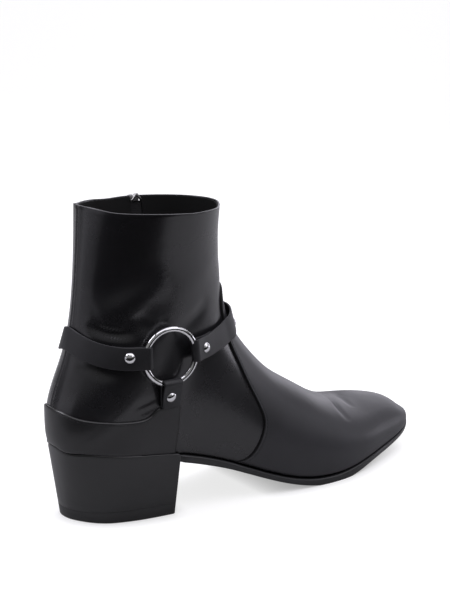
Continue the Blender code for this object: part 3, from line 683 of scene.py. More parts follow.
def edge_swell(gap, radius):
    """Share of the full thickness at a distance from a rounded edge."""
    return np.sqrt(held(1.0 - (1.0 - held(gap / radius)) ** 2))


def edge_mark(gap, width):
    """How much of each point takes a finished edge's painted tone (ink with painted shade, or a painted
    highlight), fading over a width of the face and full underneath.
    """
    return np.stack([held(1.0 - gap / width) ** 0.5, np.ones(gap.shape)])


seam_lat, seam_med = (vamp_seam(side, VAMP_SIDE_POINTS) for side in (-1.0, 1.0))
seam_u, seam_t = (np.concatenate([lat[::-1], med[1:]]) for lat, med in zip(seam_lat, seam_med))
seam_step = last_point(seam_u, seam_t) - last_point(seam_u * (1.0 - SPEED_STEP), seam_t)
seam_speed = np.linalg.norm(seam_step, axis=-1) / SPEED_STEP
body_share = np.linspace(0.0, 1.0, VAMP_BODY_ROWS)[:, None] * (1.0 - VAMP_EDGE_BAND / seam_speed)
vamp_share = np.concatenate([body_share, 1.0 - np.array(VAMP_EDGE)[:, None] / seam_speed], axis=0)
vamp_gap = (1.0 - vamp_share) * seam_speed
vamp_u = vamp_share * seam_u
vamp_t = np.broadcast_to(seam_t, vamp_u.shape)
vamp_lift = LAP + (OVERLAY - LAP) * edge_swell(vamp_gap, VAMP_EDGE_ROUND)
vamp_lift -= FEATHER_TUCK * held((np.abs(vamp_t) - 1.0) / FEATHER_TUCK_BAND + 1.0) ** 2
vamp_lift -= STITCH_GROOVE * hump((vamp_gap - STITCH_INSET) / STITCH_GROOVE_REACH)
vamp_sheets = []
for lift in (vamp_lift, UNDERSIDE):
    sheet = skin(vamp_u, vamp_t, lift)
    toe_end = sheet[:1].copy()
    toe_end[..., 2] = COLUMN["base_z"](0.0) - TOE_TURN
    vamp_sheets.append(np.concatenate([toe_end, sheet], axis=0))
# The cut edge and a thin strip of face beside it are painted near-black: edge ink plus painted shade where
# the edge lies in shadow.
vamp_ink_shade = edge_mark(np.concatenate([vamp_gap[:1], vamp_gap], axis=0), VAMP_INK_SHADE_WIDTH)
INK_AND_SHADE_EDGE = ("ink_and_shade", 0.003, 0.7)
VAMP_LEATHER = leather("vamp_finish", (0.0275, 0.027, 0.0315), 0.46, 0.06, 0.12, (INK_AND_SHADE_EDGE,))
vamp = mesh_piece("vamp_leather", *wall(*vamp_sheets), VAMP_LEATHER, marks={"ink_and_shade": vamp_ink_shade})
dress(vamp, "boot", "upper_leather", "vamp")

# Counter: a stiffened heel cover lapped over the quarters from the seat up, its edge skived and burnished;
# the top edge is painted lighter as a painted highlight and the front edge painted near-black as ink and
# painted shadow.
# It stands up under the ring, where the tab of the harness is sewn to it.
COUNTER_TOP = ((-20.0, 83.0), (-4.0, 78.6), (4.0, 74.4), (13.0, 72.1), (22.5, 70.6), (37.0, 69.0),
               (45.7, 69.3), (50.4, 71.2), (54.2, 74.4), (58.0, 75.3), (64.0, 75.3), (73.0, 75.3))
COUNTER_FRONT = ((71.8, 76.0), (71.6, 73.0), (70.3, 58.0), (68.5, 42.0), (67.5, 30.0))
COUNTER_AXIS_X = 36.0
COUNTER_REACH = 30.0
COUNTER_RUN = 95.0
COUNTER_HEIGHT = 24.0
COUNTER_Z = (38.0, 76.0)
COUNTER_U = (8.0, 16.0)
COUNTER_FRONT_U = (8.0, 13.5)
COUNTER_LEAST_T = 0.25
COUNTER_SEAT_END = 9.5
END_START_Z = 60.0
END_ROUNDS = 12
COUNTER_FRONT_STEPS = (4.5, 3.2, 2.2, 1.4, 0.9, 0.55, 0.3, 0.12, 0.0)
COUNTER_TOP_STEPS = (3.6, 2.6, 1.8, 1.2, 0.8, 0.5, 0.28, 0.12, 0.0)
COUNTER_EDGE_ROUND = 1.0
COUNTER_TUCK = 0.4
COUNTER_TUCK_RISE = 1.2
INNER_FLAT = 1.35
INNER_FLAT_AT = 22.0
INNER_FLAT_REACH = 21.0
BURNISH_HIGHLIGHT_WIDTH = 1.0
FRONT_INK_SHADE_WIDTH = 1.3
FRONT_INK_SHADE_BAND = 1.8
FRONT_INK_SHADE_DROP = 0.3


def heel_view(points):
    """View round the heel: distance round an upright axis, and z."""
    turn = np.arctan2(points[..., 1], COUNTER_AXIS_X - points[..., 0])
    return np.stack([turn * COUNTER_REACH, points[..., 2]], axis=-1)


def counter_side(side):
    """Places on one side of the counter, from the back seam to its front, and their gaps to its edges."""
    t_range = (-1.0, -COUNTER_LEAST_T) if side < 0.0 else (COUNTER_LEAST_T, 1.0)
    front_z = np.linspace(*COUNTER_Z, 40)
    table = np.array(COUNTER_FRONT)[::-1]
    front = np.stack([np.interp(front_z, table[:, 1], table[:, 0]), front_z], axis=-1)
    front = heel_view(last_point(*find_spots(side_view, front, COUNTER_FRONT_U, t_range)))
    front_reach = np.abs(front[:, 0])
    top = drawn_line(COUNTER_TOP)
    first, u_first = meet(top, np.linspace(HEEL_ROW, COUNTER_U[1], MEET_STEPS), side)
    top = evenly(top[first:], 160)
    top_u, top_t = find_spots(side_view, top[1:], COUNTER_U, t_range)
    top = heel_view(last_point(np.concatenate([[u_first], top_u]), np.concatenate([[side], top_t])))
    seat = heel_view(last_point(np.linspace(HEEL_ROW, COUNTER_SEAT_END, 500), side))
    share = np.concatenate([np.linspace(0.0, 0.93, 62), 1.0 - np.array(COUNTER_FRONT_STEPS) / COUNTER_RUN])

    def end_z(line):
        order = np.argsort(np.abs(line[:, 0]))
        z = np.full_like(share, END_START_Z)
        for _ in range(END_ROUNDS):
            round_at = share * np.interp(z, front_z, front_reach)
            z = np.interp(round_at, np.abs(line[order, 0]), line[order, 1])
        return z

    low, high = end_z(seat), end_z(top)
    rise = np.concatenate([np.linspace(0.0, 0.8, 22), 1.0 - np.array(COUNTER_TOP_STEPS) / COUNTER_HEIGHT])
    z = low + (high - low) * rise[:, None]
    round_at = side * share * np.interp(z, front_z, front_reach)
    u, t = find_spots(heel_view, np.stack([round_at, z], axis=-1).reshape(-1, 2), COUNTER_U, t_range)
    front_gap = np.broadcast_to((1.0 - share) * COUNTER_RUN, z.shape)
    return u.reshape(z.shape), t.reshape(z.shape), high - z, front_gap, z - low


halves = [counter_side(side) for side in (-1.0, 1.0)]
counter_u, counter_t, top_gap, front_gap, counter_rise = (
    np.concatenate([a[:, ::-1], b[:, 1:]], axis=1) for a, b in zip(*halves))
counter_lift = LAP + (OVERLAY - LAP) * edge_swell(np.minimum(top_gap, front_gap), COUNTER_EDGE_ROUND)
counter_lift -= COUNTER_TUCK * held(1.0 - counter_rise / COUNTER_TUCK_RISE) ** 2
counter_round = heel_view(last_point(counter_u, counter_t))[..., 0]
inner_flat = INNER_FLAT * hump((counter_round - INNER_FLAT_AT) / INNER_FLAT_REACH)
counter_lift -= inner_flat * np.sin(math.pi * counter_rise / (counter_rise + top_gap))
# The front edge and a strip beside it are painted near-black: edge ink plus painted shadow of the gap at the
# counter's front.
near_front = (front_gap < FRONT_INK_SHADE_BAND) & (top_gap > FRONT_INK_SHADE_DROP)
counter_marks = {"burnish_and_highlight": edge_mark(top_gap, BURNISH_HIGHLIGHT_WIDTH) * ~near_front,
                 "ink_and_shade": edge_mark(front_gap, FRONT_INK_SHADE_WIDTH) * near_front}
# The burnished top edge is painted lighter than the counter: a painted highlight, besides the real gloss of
# burnishing.
COUNTER_LEATHER = leather("counter_finish", (0.015, 0.0149, 0.0162), 0.34, 0.15, 0.1,
                          (("burnish_and_highlight", 0.035, 0.12), INK_AND_SHADE_EDGE))
counter_sheets = [skin(counter_u, counter_t, lift) for lift in (counter_lift, UNDERSIDE)]
counter = mesh_piece("counter_leather", *wall(*counter_sheets), COUNTER_LEATHER, marks=counter_marks)
dress(counter, "boot", "upper_leather", "counter")

# Stitching: one row of fine black thread inside the cut edges of the vamp and the counter and beside the zip.
# Each stitch is a short rounded length lying in the leather.
THREAD, thread_shade, thread_shader = finish("thread", (0.016, 0.016, 0.017), 0.6)
thread_place = thread_shade.node("ShaderNodeTexCoord", output="Object")
thread_twist = thread_shade.noise(thread_place, 2600.0, 2.0)
thread_wax = thread_shade.noise(thread_place, 140.0, 2.0)
feed(thread_shade, thread_shader, Roughness=thread_wax * 0.3 + 0.42,
     Normal=thread_shade.bump(thread_twist, 0.4, 0.00006))
STITCH_PITCH = 2.3
STITCH_SIZE = (2.2, 0.62, 0.5)
STITCH_SINK = 0.05
ZIP_SEAM_GAP = 2.4
zip_seam_z = np.linspace(ZIP_FOOT_Z - 2.5, ZIP_HEAD_Z - 3.0, 90)


def repeat_tree():
    """Geometry tree that sets rounded blocks at a pitch along a line, turned to its run and outward side."""
    tree = bpy.data.node_groups.new("blocks_along_a_line", "GeometryNodeTree")
    tree.is_modifier = True
    sockets = (("Line", "NodeSocketGeometry"), ("Pitch", "NodeSocketFloat"), ("Size", "NodeSocketVector"),
               ("Crease", "NodeSocketFloat"), ("Level", "NodeSocketInt"), ("Material", "NodeSocketMaterial"))
    ids = {name: tree.interface.new_socket(name, in_out="INPUT", socket_type=kind).identifier
           for name, kind in sockets}
    tree.interface.new_socket("Blocks", in_out="OUTPUT", socket_type="NodeSocketGeometry")
    given = tree.nodes.new("NodeGroupInput")
    result = tree.nodes.new("NodeGroupOutput")

    def node(kind, links, **settings):
        made = tree.nodes.new(kind)
        for name, value in settings.items():
            setattr(made, name, value)
        for name, value in links.items():
            if isinstance(value, bpy.types.NodeSocket):
                tree.links.new(value, made.inputs[name])
            else:
                made.inputs[name].default_value = value
        return made.outputs

    curve = node("GeometryNodeMeshToCurve", {"Mesh": given.outputs["Line"]})["Curve"]
    curve = node("GeometryNodeResampleCurve", {"Curve": curve, "Length": given.outputs["Pitch"]},
                 mode="LENGTH")["Curve"]
    out = node("GeometryNodeInputNamedAttribute", {"Name": "out"}, data_type="FLOAT_VECTOR")["Attribute"]
    run = node("GeometryNodeInputTangent", {})["Tangent"]
    turn = node("FunctionNodeAlignRotationToVector", {"Vector": run}, axis="X")["Rotation"]
    turn = node("FunctionNodeAlignRotationToVector", {"Rotation": turn, "Vector": out},
                axis="Z", pivot_axis="X")["Rotation"]
    block = node("GeometryNodeMeshCube", {"Size": given.outputs["Size"]})["Mesh"]
    block = node("GeometryNodeSubdivisionSurface", {"Mesh": block, "Level": given.outputs["Level"],
                                                    "Edge Crease": given.outputs["Crease"]})["Mesh"]
    block = node("GeometryNodeSetShadeSmooth", {"Geometry": block})["Geometry"]
    blocks = node("GeometryNodeInstanceOnPoints",
                  {"Points": curve, "Instance": block, "Rotation": turn})["Instances"]
    blocks = node("GeometryNodeRealizeInstances", {"Geometry": blocks})["Geometry"]
    blocks = node("GeometryNodeSetMaterial",
                  {"Geometry": blocks, "Material": given.outputs["Material"]})["Geometry"]
    tree.links.new(blocks, result.inputs["Blocks"])
    return tree, ids


REPEAT_TREE, REPEAT_ID = repeat_tree()


def repeat_along(name, lines, pitch, size, crease, level, material):
    """A piece of equal blocks set along lines, each line a pair of points and outward directions."""
    mesh = bpy.data.meshes.new(name)
    points, outs, edges = [], [], []
    for line, out in lines:
        edges += [(len(points) + i, len(points) + i + 1) for i in range(len(line) - 1)]
        points += list(line)
        outs += list(out)
    mesh.from_pydata(row_frame(points).tolist(), edges, [])
    attribute = mesh.attributes.new("out", "FLOAT_VECTOR", "POINT")
    attribute.data.foreach_set("vector", np.ravel(outs).astype(np.float32))
    made = put_in_scene(name, mesh)
    step = made.modifiers.new("repeat", "NODES")
    step.node_group = REPEAT_TREE
    values = {"Pitch": pitch * MM, "Size": [s * MM for s in size], "Crease": crease, "Level": level,
              "Material": material}
    for socket, value in values.items():
        step[REPEAT_ID[socket]] = value
    ready = bpy.data.meshes.new_from_object(made.evaluated_get(bpy.context.evaluated_depsgraph_get()))
    made.modifiers.remove(step)
    made.data = ready
    return made


def tree_of(piece):
    """Search tree of a finished piece."""
    return BVHTree.FromObject(piece, bpy.context.evaluated_depsgraph_get())


def laid_on(tree, line, sink):
    """A line of points let down on a piece, and its outward directions there."""
    points, outs = [], []
    for point in line:
        place, normal = tree.find_nearest(Vector(row_frame(point)))[:2]
        points.append(from_frame(place) - np.array(normal) * sink)
        outs.append(normal)
    return np.array(points), np.array(outs)


def inset_line(u, t, inward):
    """The row of stitching beside an edge at places (u, t), on the side of the inward points."""
    edge, normal = last_point(u, t), last_normal(u, t)
    aside = unit(np.cross(normal, np.gradient(edge, axis=0)))
    aside *= np.sign(np.sum(aside * (inward - edge), axis=1))[:, None]
    return edge + aside * STITCH_INSET + normal * OVERLAY


def zip_line(z, aside, lift):
    """A line beside the middle of the zip on the inner side, and its outward directions."""
    u, t = find_spots(side_view, np.stack([zip_x(z) + aside, z], axis=-1), (8.0, LAST_ROW), (0.05, 1.0))
    return skin(u, t, lift), last_normal(u, t)


VAMP_TREE, COUNTER_TREE = tree_of(vamp), tree_of(counter)
vamp_row = inset_line(seam_u, seam_t, last_point(seam_u * 0.97, seam_t))
top_row = inset_line(counter_u[-1], counter_t[-1], last_point(counter_u[-5], counter_t[-5]))
stitch_lines = [laid_on(tree, row[3:-3], STITCH_SINK)
                for tree, row in ((VAMP_TREE, vamp_row), (COUNTER_TREE, top_row))]
stitch_lines += [zip_line(zip_seam_z, side * (ZIP_SLOT / 2.0 + ZIP_SEAM_GAP), -STITCH_SINK)
                 for side in (-1.0, 1.0)]
stitches = repeat_along("stitching", stitch_lines, STITCH_PITCH, STITCH_SIZE, 0.0, 1, THREAD)
dress(stitches, "boot", "upper_leather")

# Zip: woven black tape sewn behind the slit of the inner side, with two rows of bright metal teeth that mesh.
# The cast slider stays at the collar; its flat pull tab hangs from a bail and swings.
TAPE, tape_shade, tape_shader = finish("zip_tape", (0.012, 0.012, 0.013), 0.85)
tape_place = tape_shade.node("ShaderNodeTexCoord", output="Object")
tape_rib = tape_shade.node("ShaderNodeTexWave", {"bands_direction": "Z"},
                           {"Vector": tape_place, "Scale": 260.0})
feed(tape_shade, tape_shader, Normal=tape_shade.bump(tape_rib, 0.5, 0.0001))


def bright_metal(name, colour, smear_scale, gloss_range, smoothest):
    """Polished metal, its gloss broken by faint smears."""
    made, shade, shader = finish(name, colour, smoothest, metallic=1.0)
    smear = shade.noise(shade.node("ShaderNodeTexCoord", output="Object"), smear_scale, 3.0)
    feed(shade, shader, Roughness=smear * gloss_range + smoothest)
    return made


ZIP_METAL = bright_metal("zip_metal", (0.56, 0.555, 0.55), 300.0, 0.25, 0.26)
TAPE_HALF = 3.7
TAPE_FACES = (-0.9, -1.5)
TOOTH_PITCH = 2.3
TOOTH_SIZE = (1.35, 2.9, 1.5)
TOOTH_ASIDE = 0.75
TOOTH_LIFT = -0.45
CHAIN_STEP = 1.71
chain_z = np.linspace(ZIP_FOOT_Z + 0.2, ZIP_HEAD_Z - 2.0, 80)
tape_asides = np.linspace(-TAPE_HALF, TAPE_HALF, 7)
tape_sheets = [np.array([zip_line(chain_z, aside, lift)[0] for aside in tape_asides]) for lift in TAPE_FACES]
tape = mesh_piece("zip_tape", *wall(*tape_sheets), TAPE)
dress(tape, "boot", "zip_metal")
tooth_rows = []
for side in (-1.0, 1.0):
    line, out = zip_line(chain_z, side * TOOTH_ASIDE, TOOTH_LIFT)
    half_pitch = np.diff(line, axis=0) * TOOTH_PITCH / 2.0 / CHAIN_STEP
    tooth_rows.append((line[:-1] + (half_pitch if side > 0.0 else 0.0), out[:-1]))
teeth = repeat_along("zip_teeth", tooth_rows, TOOTH_PITCH, TOOTH_SIZE, 0.55, 2, ZIP_METAL)
dress(teeth, "boot", "zip_metal", "zip_chain")

slider_low, slider_high = (from_frame(corner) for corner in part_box("zip_slider"))
pull_high = from_frame(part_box("zip_pull")[1])
SLIDER_X = (slider_low[0] + slider_high[0]) / 2.0
SLIDER_FACE = slider_low[1]
SLIDER_FRONT = ((-2.6, 187.6), (2.6, 187.6), (3.4, 189.0), (4.4, 193.5), (4.4, 197.0), (3.6, 199.0),
                (1.2, 199.4), (0.0, 198.2), (-1.2, 199.4), (-3.6, 199.0), (-4.4, 197.0), (-4.4, 193.5),
                (-3.4, 189.0))
SLIDER_BACK = ((-4.1, 196.0), (-3.0, 195.2), (0.0, 198.2), (3.0, 195.2), (4.1, 196.0), (0.7, 200.4),
               (-0.7, 200.4))
SLIDER_POST = ((-1.4, 195.0), (1.4, 195.0), (1.0, 198.0), (-1.0, 198.0))
SLIDER_PLATES = (("slider_front", SLIDER_FRONT, 0.0, 1.8, 0.4),
                 ("slider_back", SLIDER_BACK, -4.6, -3.4, 0.35),
                 ("slider_post", SLIDER_POST, -3.8, 0.6, 0.2))
PLATE_SHARP_DEG = 35.0
PULL_BAR = 0.7
PULL_BEVEL = 0.35
PULL_OUTLINE = ((-3.6, 0.7), (3.6, 0.7), (3.6, -8.0), (3.0, -10.0), (3.0, -22.5), (2.6, -24.6), (1.4, -25.8),
                (-1.4, -25.8), (-2.6, -24.6), (-3.0, -22.5), (-3.0, -10.0), (-3.6, -8.0))
PULL_WINDOW = ((-2.0, -0.7), (2.0, -0.7), (2.0, -5.6), (-2.0, -5.6))
WINDOW_HALF = 3.0
WINDOW_BEVEL = 0.25
BAIL_STEPS = 25
BAIL_ENDS_DEG = (-8.0, 188.0)
BAIL_FOOT = 1.6
BAIL_ARCH = (0.0, 3.9, 2.85)
BAIL_SECTION = ((-1.3, -0.2), (-1.1, -0.42), (1.1, -0.42), (1.3, -0.2), (1.3, 0.2), (1.1, 0.42),
                (-1.1, 0.42), (-1.3, 0.2))


def plate(name, outline, origin, y_from, y_to, bevel):
    """A flat metal plate with a side outline drawn from an origin, its edges broken by a bevel."""
    work = bmesh.new()
    lower = [work.verts.new(row_frame((origin[0] + x, y_from, origin[1] + z))) for x, z in outline]
    face = work.faces.new(lower)
    grown = bmesh.ops.extrude_face_region(work, geom=[face])
    moved = [v for v in grown["geom"] if isinstance(v, bmesh.types.BMVert)]
    bmesh.ops.translate(work, verts=moved, vec=(0.0, (y_to - y_from) * MM, 0.0))
    bmesh.ops.recalc_face_normals(work, faces=work.faces)
    bmesh.ops.bevel(work, geom=list(work.edges), offset=bevel * MM, segments=3, profile=0.5, affect="EDGES")
    mesh = bpy.data.meshes.new(name)
    work.to_mesh(mesh)
    work.free()
    mesh.shade_smooth()
    mesh.set_sharp_from_angle(angle=math.radians(PLATE_SHARP_DEG))
    mesh.materials.append(ZIP_METAL)
    return put_in_scene(name, mesh)


def join(name, pieces):
    """Several pieces as one."""
    work = bmesh.new()
    for piece in pieces:
        work.from_mesh(piece.data)
    mesh = bpy.data.meshes.new(name)
    work.to_mesh(mesh)
    work.free()
    for material in pieces[0].data.materials:
        mesh.materials.append(material)
    for piece in pieces:
        bpy.data.objects.remove(piece)
    return put_in_scene(name, mesh)


def tube_faces(rings, steps, closed):
    """Faces of a tube of rings, joined to itself or capped at its ends."""
    faces = []
    for i in range(rings if closed else rings - 1):
        a, b = i * steps, ((i + 1) % rings) * steps
        faces += [(a + j, b + j, b + (j + 1) % steps, a + (j + 1) % steps) for j in range(steps)]
    if not closed:
        faces.append(tuple(range(steps)))
        faces.append(tuple(range(rings * steps - 1, (rings - 1) * steps - 1, -1)))
    return faces


pivot = np.array((SLIDER_X, pull_high[1] - PULL_BAR, pull_high[2] - PULL_BAR))
bail_points = []
for angle in np.radians(np.linspace(*BAIL_ENDS_DEG, BAIL_STEPS)):
    out = np.array((0.0, math.sin(angle), math.cos(angle)))
    spine = np.array((SLIDER_X, SLIDER_FACE + BAIL_FOOT, pivot[2])) + out * BAIL_ARCH
    bail_points += [spine + out * rise + (x, 0.0, 0.0) for x, rise in BAIL_SECTION]
slider_parts = [plate(name, outline, (SLIDER_X, 0.0), SLIDER_FACE + start, SLIDER_FACE + end, bevel)
                for name, outline, start, end, bevel in SLIDER_PLATES]
bail_faces = tube_faces(BAIL_STEPS, len(BAIL_SECTION), False)
slider_parts.append(mesh_piece("bail", bail_points, bail_faces, ZIP_METAL))
slider = join("slider", slider_parts)
dress(slider, "boot", "zip_metal", "zip_slider")

hinge = (pivot[0], pivot[2])
pull = plate("pull_tab", PULL_OUTLINE, hinge, pivot[1] - PULL_BAR, pivot[1] + PULL_BAR, PULL_BEVEL)
subtract(pull, plate("pull_window", PULL_WINDOW, hinge, pivot[1] - WINDOW_HALF, pivot[1] + WINDOW_HALF,
                     WINDOW_BEVEL))
dress(pull, "pull", "zip_metal", "zip_pull")

# Outsole: one cut of leather, edge trimmed, inked and burnished, nearly flush with the upper.
# Behind the heel breast it is drawn in, since the heel cover runs over its edge there.
SOLE_LEATHER = leather("sole_leather", (0.02, 0.02, 0.021), 0.38, 0.15, 0.25)
HEEL_BREAST_X = 72.6
SOLE_EDGE = ((0.2, 0.0), (1.2, 0.03), (1.8, 0.09), (2.15, 0.17), (2.3, 0.3), (2.3, 0.7), (2.2, 0.85),
             (1.95, 0.94), (1.5, 0.99), (0.6, 1.0))
SOLE_DROP = 1.1
SHANK_EXTRA = 1.0
SHANK_AT = 87.0
SHANK_REACH = 28.0
WAIST_INSET = 0.9
WAIST_X = 120.0
WAIST_RUN = 10.0
SEAT_INSET = 1.7
SEAT_LEAD = 2.0
SEAT_RUN = 1.5
sole_u = np.concatenate([np.linspace(0.0, 2.0, 40), np.linspace(2.0, 11.0, 110)[1:], round_heel(60)])
sole_x = COLUMN["base_x"](sole_u)
sole_depth = COLUMN["sole"](sole_u) - SOLE_DROP + SHANK_EXTRA * hump((sole_x - SHANK_AT) / SHANK_REACH)
sole_inset = WAIST_INSET * held((WAIST_X - sole_x) / WAIST_RUN)
sole_inset = sole_inset + SEAT_INSET * held((HEEL_BREAST_X + SEAT_LEAD - sole_x) / SEAT_RUN)
sole_levels = [feather_lines(sole_u, spread - sole_inset, SOLE_DROP + part * sole_depth)
               for spread, part in SOLE_EDGE]
outsole = mesh_piece("outsole_leather", *ladder(sole_levels), SOLE_LEATHER)
dress(outsole, "boot", "sole_leather", "outsole")

# Heel: a stacked block shaped with the seat, its back and sides running straight down to the lift.
# It is inked and burnished to one smooth satin face, the breast cut square across.
HEEL_FOOT_OUTER = ((68.4, -31.0), (56.6, -29.5), (44.4, -27.3), (33.0, -23.9), (24.3, -19.9), (17.1, -13.5),
                   (11.9, -6.0), (8.7, 0.6), (7.6, 6.5))
HEEL_FOOT_INNER = ((68.4, 30.2), (54.0, 28.8), (41.0, 27.0), (29.0, 25.0), (19.6, 22.4), (12.7, 18.9),
                   (9.0, 14.8), (7.7, 10.6), (7.6, 6.5))
HEEL_SPREAD = 1.25
HEEL_LEAN = 0.5
HEEL_SEAT_DROP = 0.4
HEEL_POINTS = 90
BREAST_CORNER = 0.45
BREAST_EASE = (0.3, 0.1)
HEEL_EDGE = ((None, 0.0, 0.75), (None, 0.35, 0.4), (None, 0.8, 0.1), (None, 1.2, 0.0), (None, 3.0, 0.0),
             (30.0, 0.0, 0.0), (20.0, 0.0, 0.0), (12.0, 0.0, 0.0), (8.3, 0.0, 0.0), (8.03, 0.0, 0.12))
HEEL_INK = leather("heel_ink", (0.02, 0.02, 0.0212), 0.36, 0.2, 0.15)


def heel_edge(side, height, drop, inset):
    """One edge of the heel from breast to back, at a height or, where that is None, a drop below the seat."""
    seat_u = np.concatenate([np.linspace(9.6, 11.0, 60), round_heel(70)])
    spread = HEEL_SPREAD - side * HEEL_LEAN * held(HEEL_ROW - seat_u)
    seat = feather_lines(seat_u, spread, HEEL_SEAT_DROP)[0 if side < 0.0 else 1]
    seat = evenly(seat[seat[:, 0] < HEEL_BREAST_X], HEEL_POINTS)
    seat[-1, 1] = 0.0
    foot = drawn_line(HEEL_FOOT_OUTER if side < 0.0 else HEEL_FOOT_INNER)
    foot = evenly(np.pad(foot, ((0, 0), (0, 1))), HEEL_POINTS)
    run = np.gradient(foot, axis=0)
    inward = unit(np.stack([run[:, 1], -run[:, 0], 0.0 * run[:, 0]], axis=-1)) * -side
    rise = seat[:, 2] - drop if height is None else np.full(len(seat), height)
    edge = foot + (seat - foot) * (rise / seat[:, 2])[:, None] + inward * inset
    corner = edge[0] - (inset, BREAST_CORNER * side, 0.0)
    edge[0] -= (BREAST_EASE[0] + inset, BREAST_EASE[1] * side, 0.0)
    return np.vstack([corner, edge])


def heel_level(height, drop, inset):
    """Outer and inner edge of the heel at one level, meeting at the back."""
    outer, inner = (heel_edge(side, height, drop, inset) for side in (-1.0, 1.0))
    outer[-1] = inner[-1] = (outer[-1] + inner[-1]) / 2.0
    return outer, inner


heel = mesh_piece("heel_block", *ladder([heel_level(*row) for row in HEEL_EDGE]), HEEL_INK)
dress(heel, "boot", "heel_block", "heel")

# Top lift: the hard rubber layer that takes the wear, nailed on and trimmed with the heel.
# A fine line parts it from the block.
RUBBER = leather("lift_rubber", (0.019, 0.019, 0.0202), 0.42, 0.1, 0.2)
LIFT_EDGE = ((7.97, 0.0, 0.12), (7.75, 0.0, 0.0), (3.5, 0.0, 0.0), (0.7, 0.0, 0.0), (0.2, 0.0, 0.25),
             (0.0, 0.0, 0.7))
lift = mesh_piece("heel_lift", *ladder([heel_level(*row) for row in LIFT_EDGE]), RUBBER)
dress(lift, "boot", "rubber", "top_lift")

# Ring: round steel wire bent, welded and chromed, hanging on the three straps of the harness.
# It lies on the outer side of the ankle, turned a little with the leather.
CHROME = bright_metal("chrome", (0.80, 0.80, 0.81), 180.0, 0.12, 0.03)
RING_CENTRE = np.array((62.2, -37.4, 108.2))
RING_RADIUS = 17.6
RING_WIRE = 1.8
RING_TURN_DEG = 6.0
RING_STEPS = 144
WIRE_STEPS = 28
UP = np.array((0.0, 0.0, 1.0))


def full_turn(steps):
    """Angles evenly round a circle."""
    return np.linspace(0.0, 2.0 * math.pi, steps, endpoint=False)


ring_turn = math.radians(RING_TURN_DEG)
ring_across = np.array((math.cos(ring_turn), -math.sin(ring_turn), 0.0))
ring_out = np.array((-math.sin(ring_turn), -math.cos(ring_turn), 0.0))
around = full_turn(RING_STEPS)[:, None, None]
about = full_turn(WIRE_STEPS)[None, :, None]
ring_radial = ring_across * np.cos(around) + UP * np.sin(around)
ring_points = RING_CENTRE + ring_radial * (RING_RADIUS + RING_WIRE * np.cos(about))
ring_points = ring_points + ring_out * RING_WIRE * np.sin(about)
ring_faces = tube_faces(RING_STEPS, WIRE_STEPS, True)
ring = mesh_piece("harness_ring", ring_points.reshape(-1, 3), ring_faces, CHROME)
dress(ring, "boot", "chrome", "ring")

# Straps: bands of satin strap leather round the ankle, each folded round the ring and riveted back on itself.
# Their edges are rounded and inked; the tab below the ring is the same leather.
STRAP_LEATHER = leather("strap_leather", (0.023, 0.0228, 0.0255), 0.48, 0.0, 0.2)
STRAP_WIDTH = 14.0
STRAP_PLY = 1.45
STRAP_CORNER = 0.5
CORNER_STEPS = 5
FOLD_TURN_DEG = 15.0
FOLD_SLACK = 0.05
BAND_PROBES = 5
BAND_PROBE_REACH = 150.0
BAND_SMOOTHING = 6
TAB_HALF = 6.75
TAB_PROBE_Y = -120.0
TAB_SMOOTHING = 3
AXIS_X = 65.0
BAND_COLUMNS = ("turn", "mid_z", "foot_off", "head_off", "thick")
BACK_BAND = ((-119.0, 109.2, 0.7, 0.7, 6.2), (-126.0, 109.5, 0.7, 0.7, 5.0), (-138.0, 110.0, 0.6, 0.6, 3.8),
             (-150.0, 111.7, 0.6, 0.6, 2.6), (-160.0, 114.0, 0.7, 0.5, 1.8), (-171.0, 117.4, 0.9, 0.4, 1.8),
             (-180.0, 119.6, 1.0, 0.3, 1.8), (-189.0, 118.0, 1.0, 0.2, 1.8), (-200.0, 114.9, 1.2, 0.1, 1.8),
             (-215.0, 111.2, 1.3, 0.1, 1.8), (-240.0, 107.2, 0.7, 0.4, 1.8), (-284.0, 105.4, 0.6, 0.6, 1.8))
FRONT_BAND = ((-69.0, 109.6, 4.8, 4.8, 6.2), (-61.0, 109.6, 4.2, 4.2, 5.0), (-50.0, 109.6, 3.2, 3.3, 3.8),
              (-38.0, 110.8, 1.9, 2.1, 2.6), (-27.0, 112.8, 1.4, 1.9, 1.8), (-15.0, 116.8, 0.6, 2.4, 1.8),
              (0.0, 119.8, 0.6, 3.0, 1.8), (15.0, 116.8, 0.6, 2.4, 1.8), (27.0, 112.8, 1.4, 1.9, 1.8),
              (38.0, 109.8, 1.3, 1.5, 1.8), (48.0, 107.8, 0.7, 0.7, 1.8))
TAB_COLUMNS = ("mid_x", "mid_z", "off", "thick")
RING_TAB = ((62.3, 91.0, 1.4, 6.2), (62.4, 86.6, 0.9, 5.0), (62.6, 80.0, 0.5, 3.8), (62.8, 75.4, 0.4, 3.6))
COVERS = [tree_of(upper), VAMP_TREE, COUNTER_TREE]


def first_hit(start, direction):
    """Where a ray first meets the leather, in millimetres."""
    hits = [tree.ray_cast(Vector(row_frame(start)), Vector(direction).normalized()) for tree in COVERS]
    return from_frame(min((hit for hit in hits if hit[0]), key=lambda hit: hit[3])[0])


def stations(table, columns, steps):
    """Rows of a table joined by splines, as dictionaries."""
    curves = {name: natural_spline([row[i] for row in table]) for i, name in enumerate(columns)}
    return [{name: float(curve(at)) for name, curve in curves.items()}
            for at in np.linspace(0.0, len(table) - 1.0, steps)]


def smooth(values, rounds):
    """Even out a run of values or points, its ends held."""
    values = np.array(values, float)
    for _ in range(rounds):
        values[1:-1] = 0.25 * values[:-2] + 0.5 * values[1:-1] + 0.25 * values[2:]
    return values


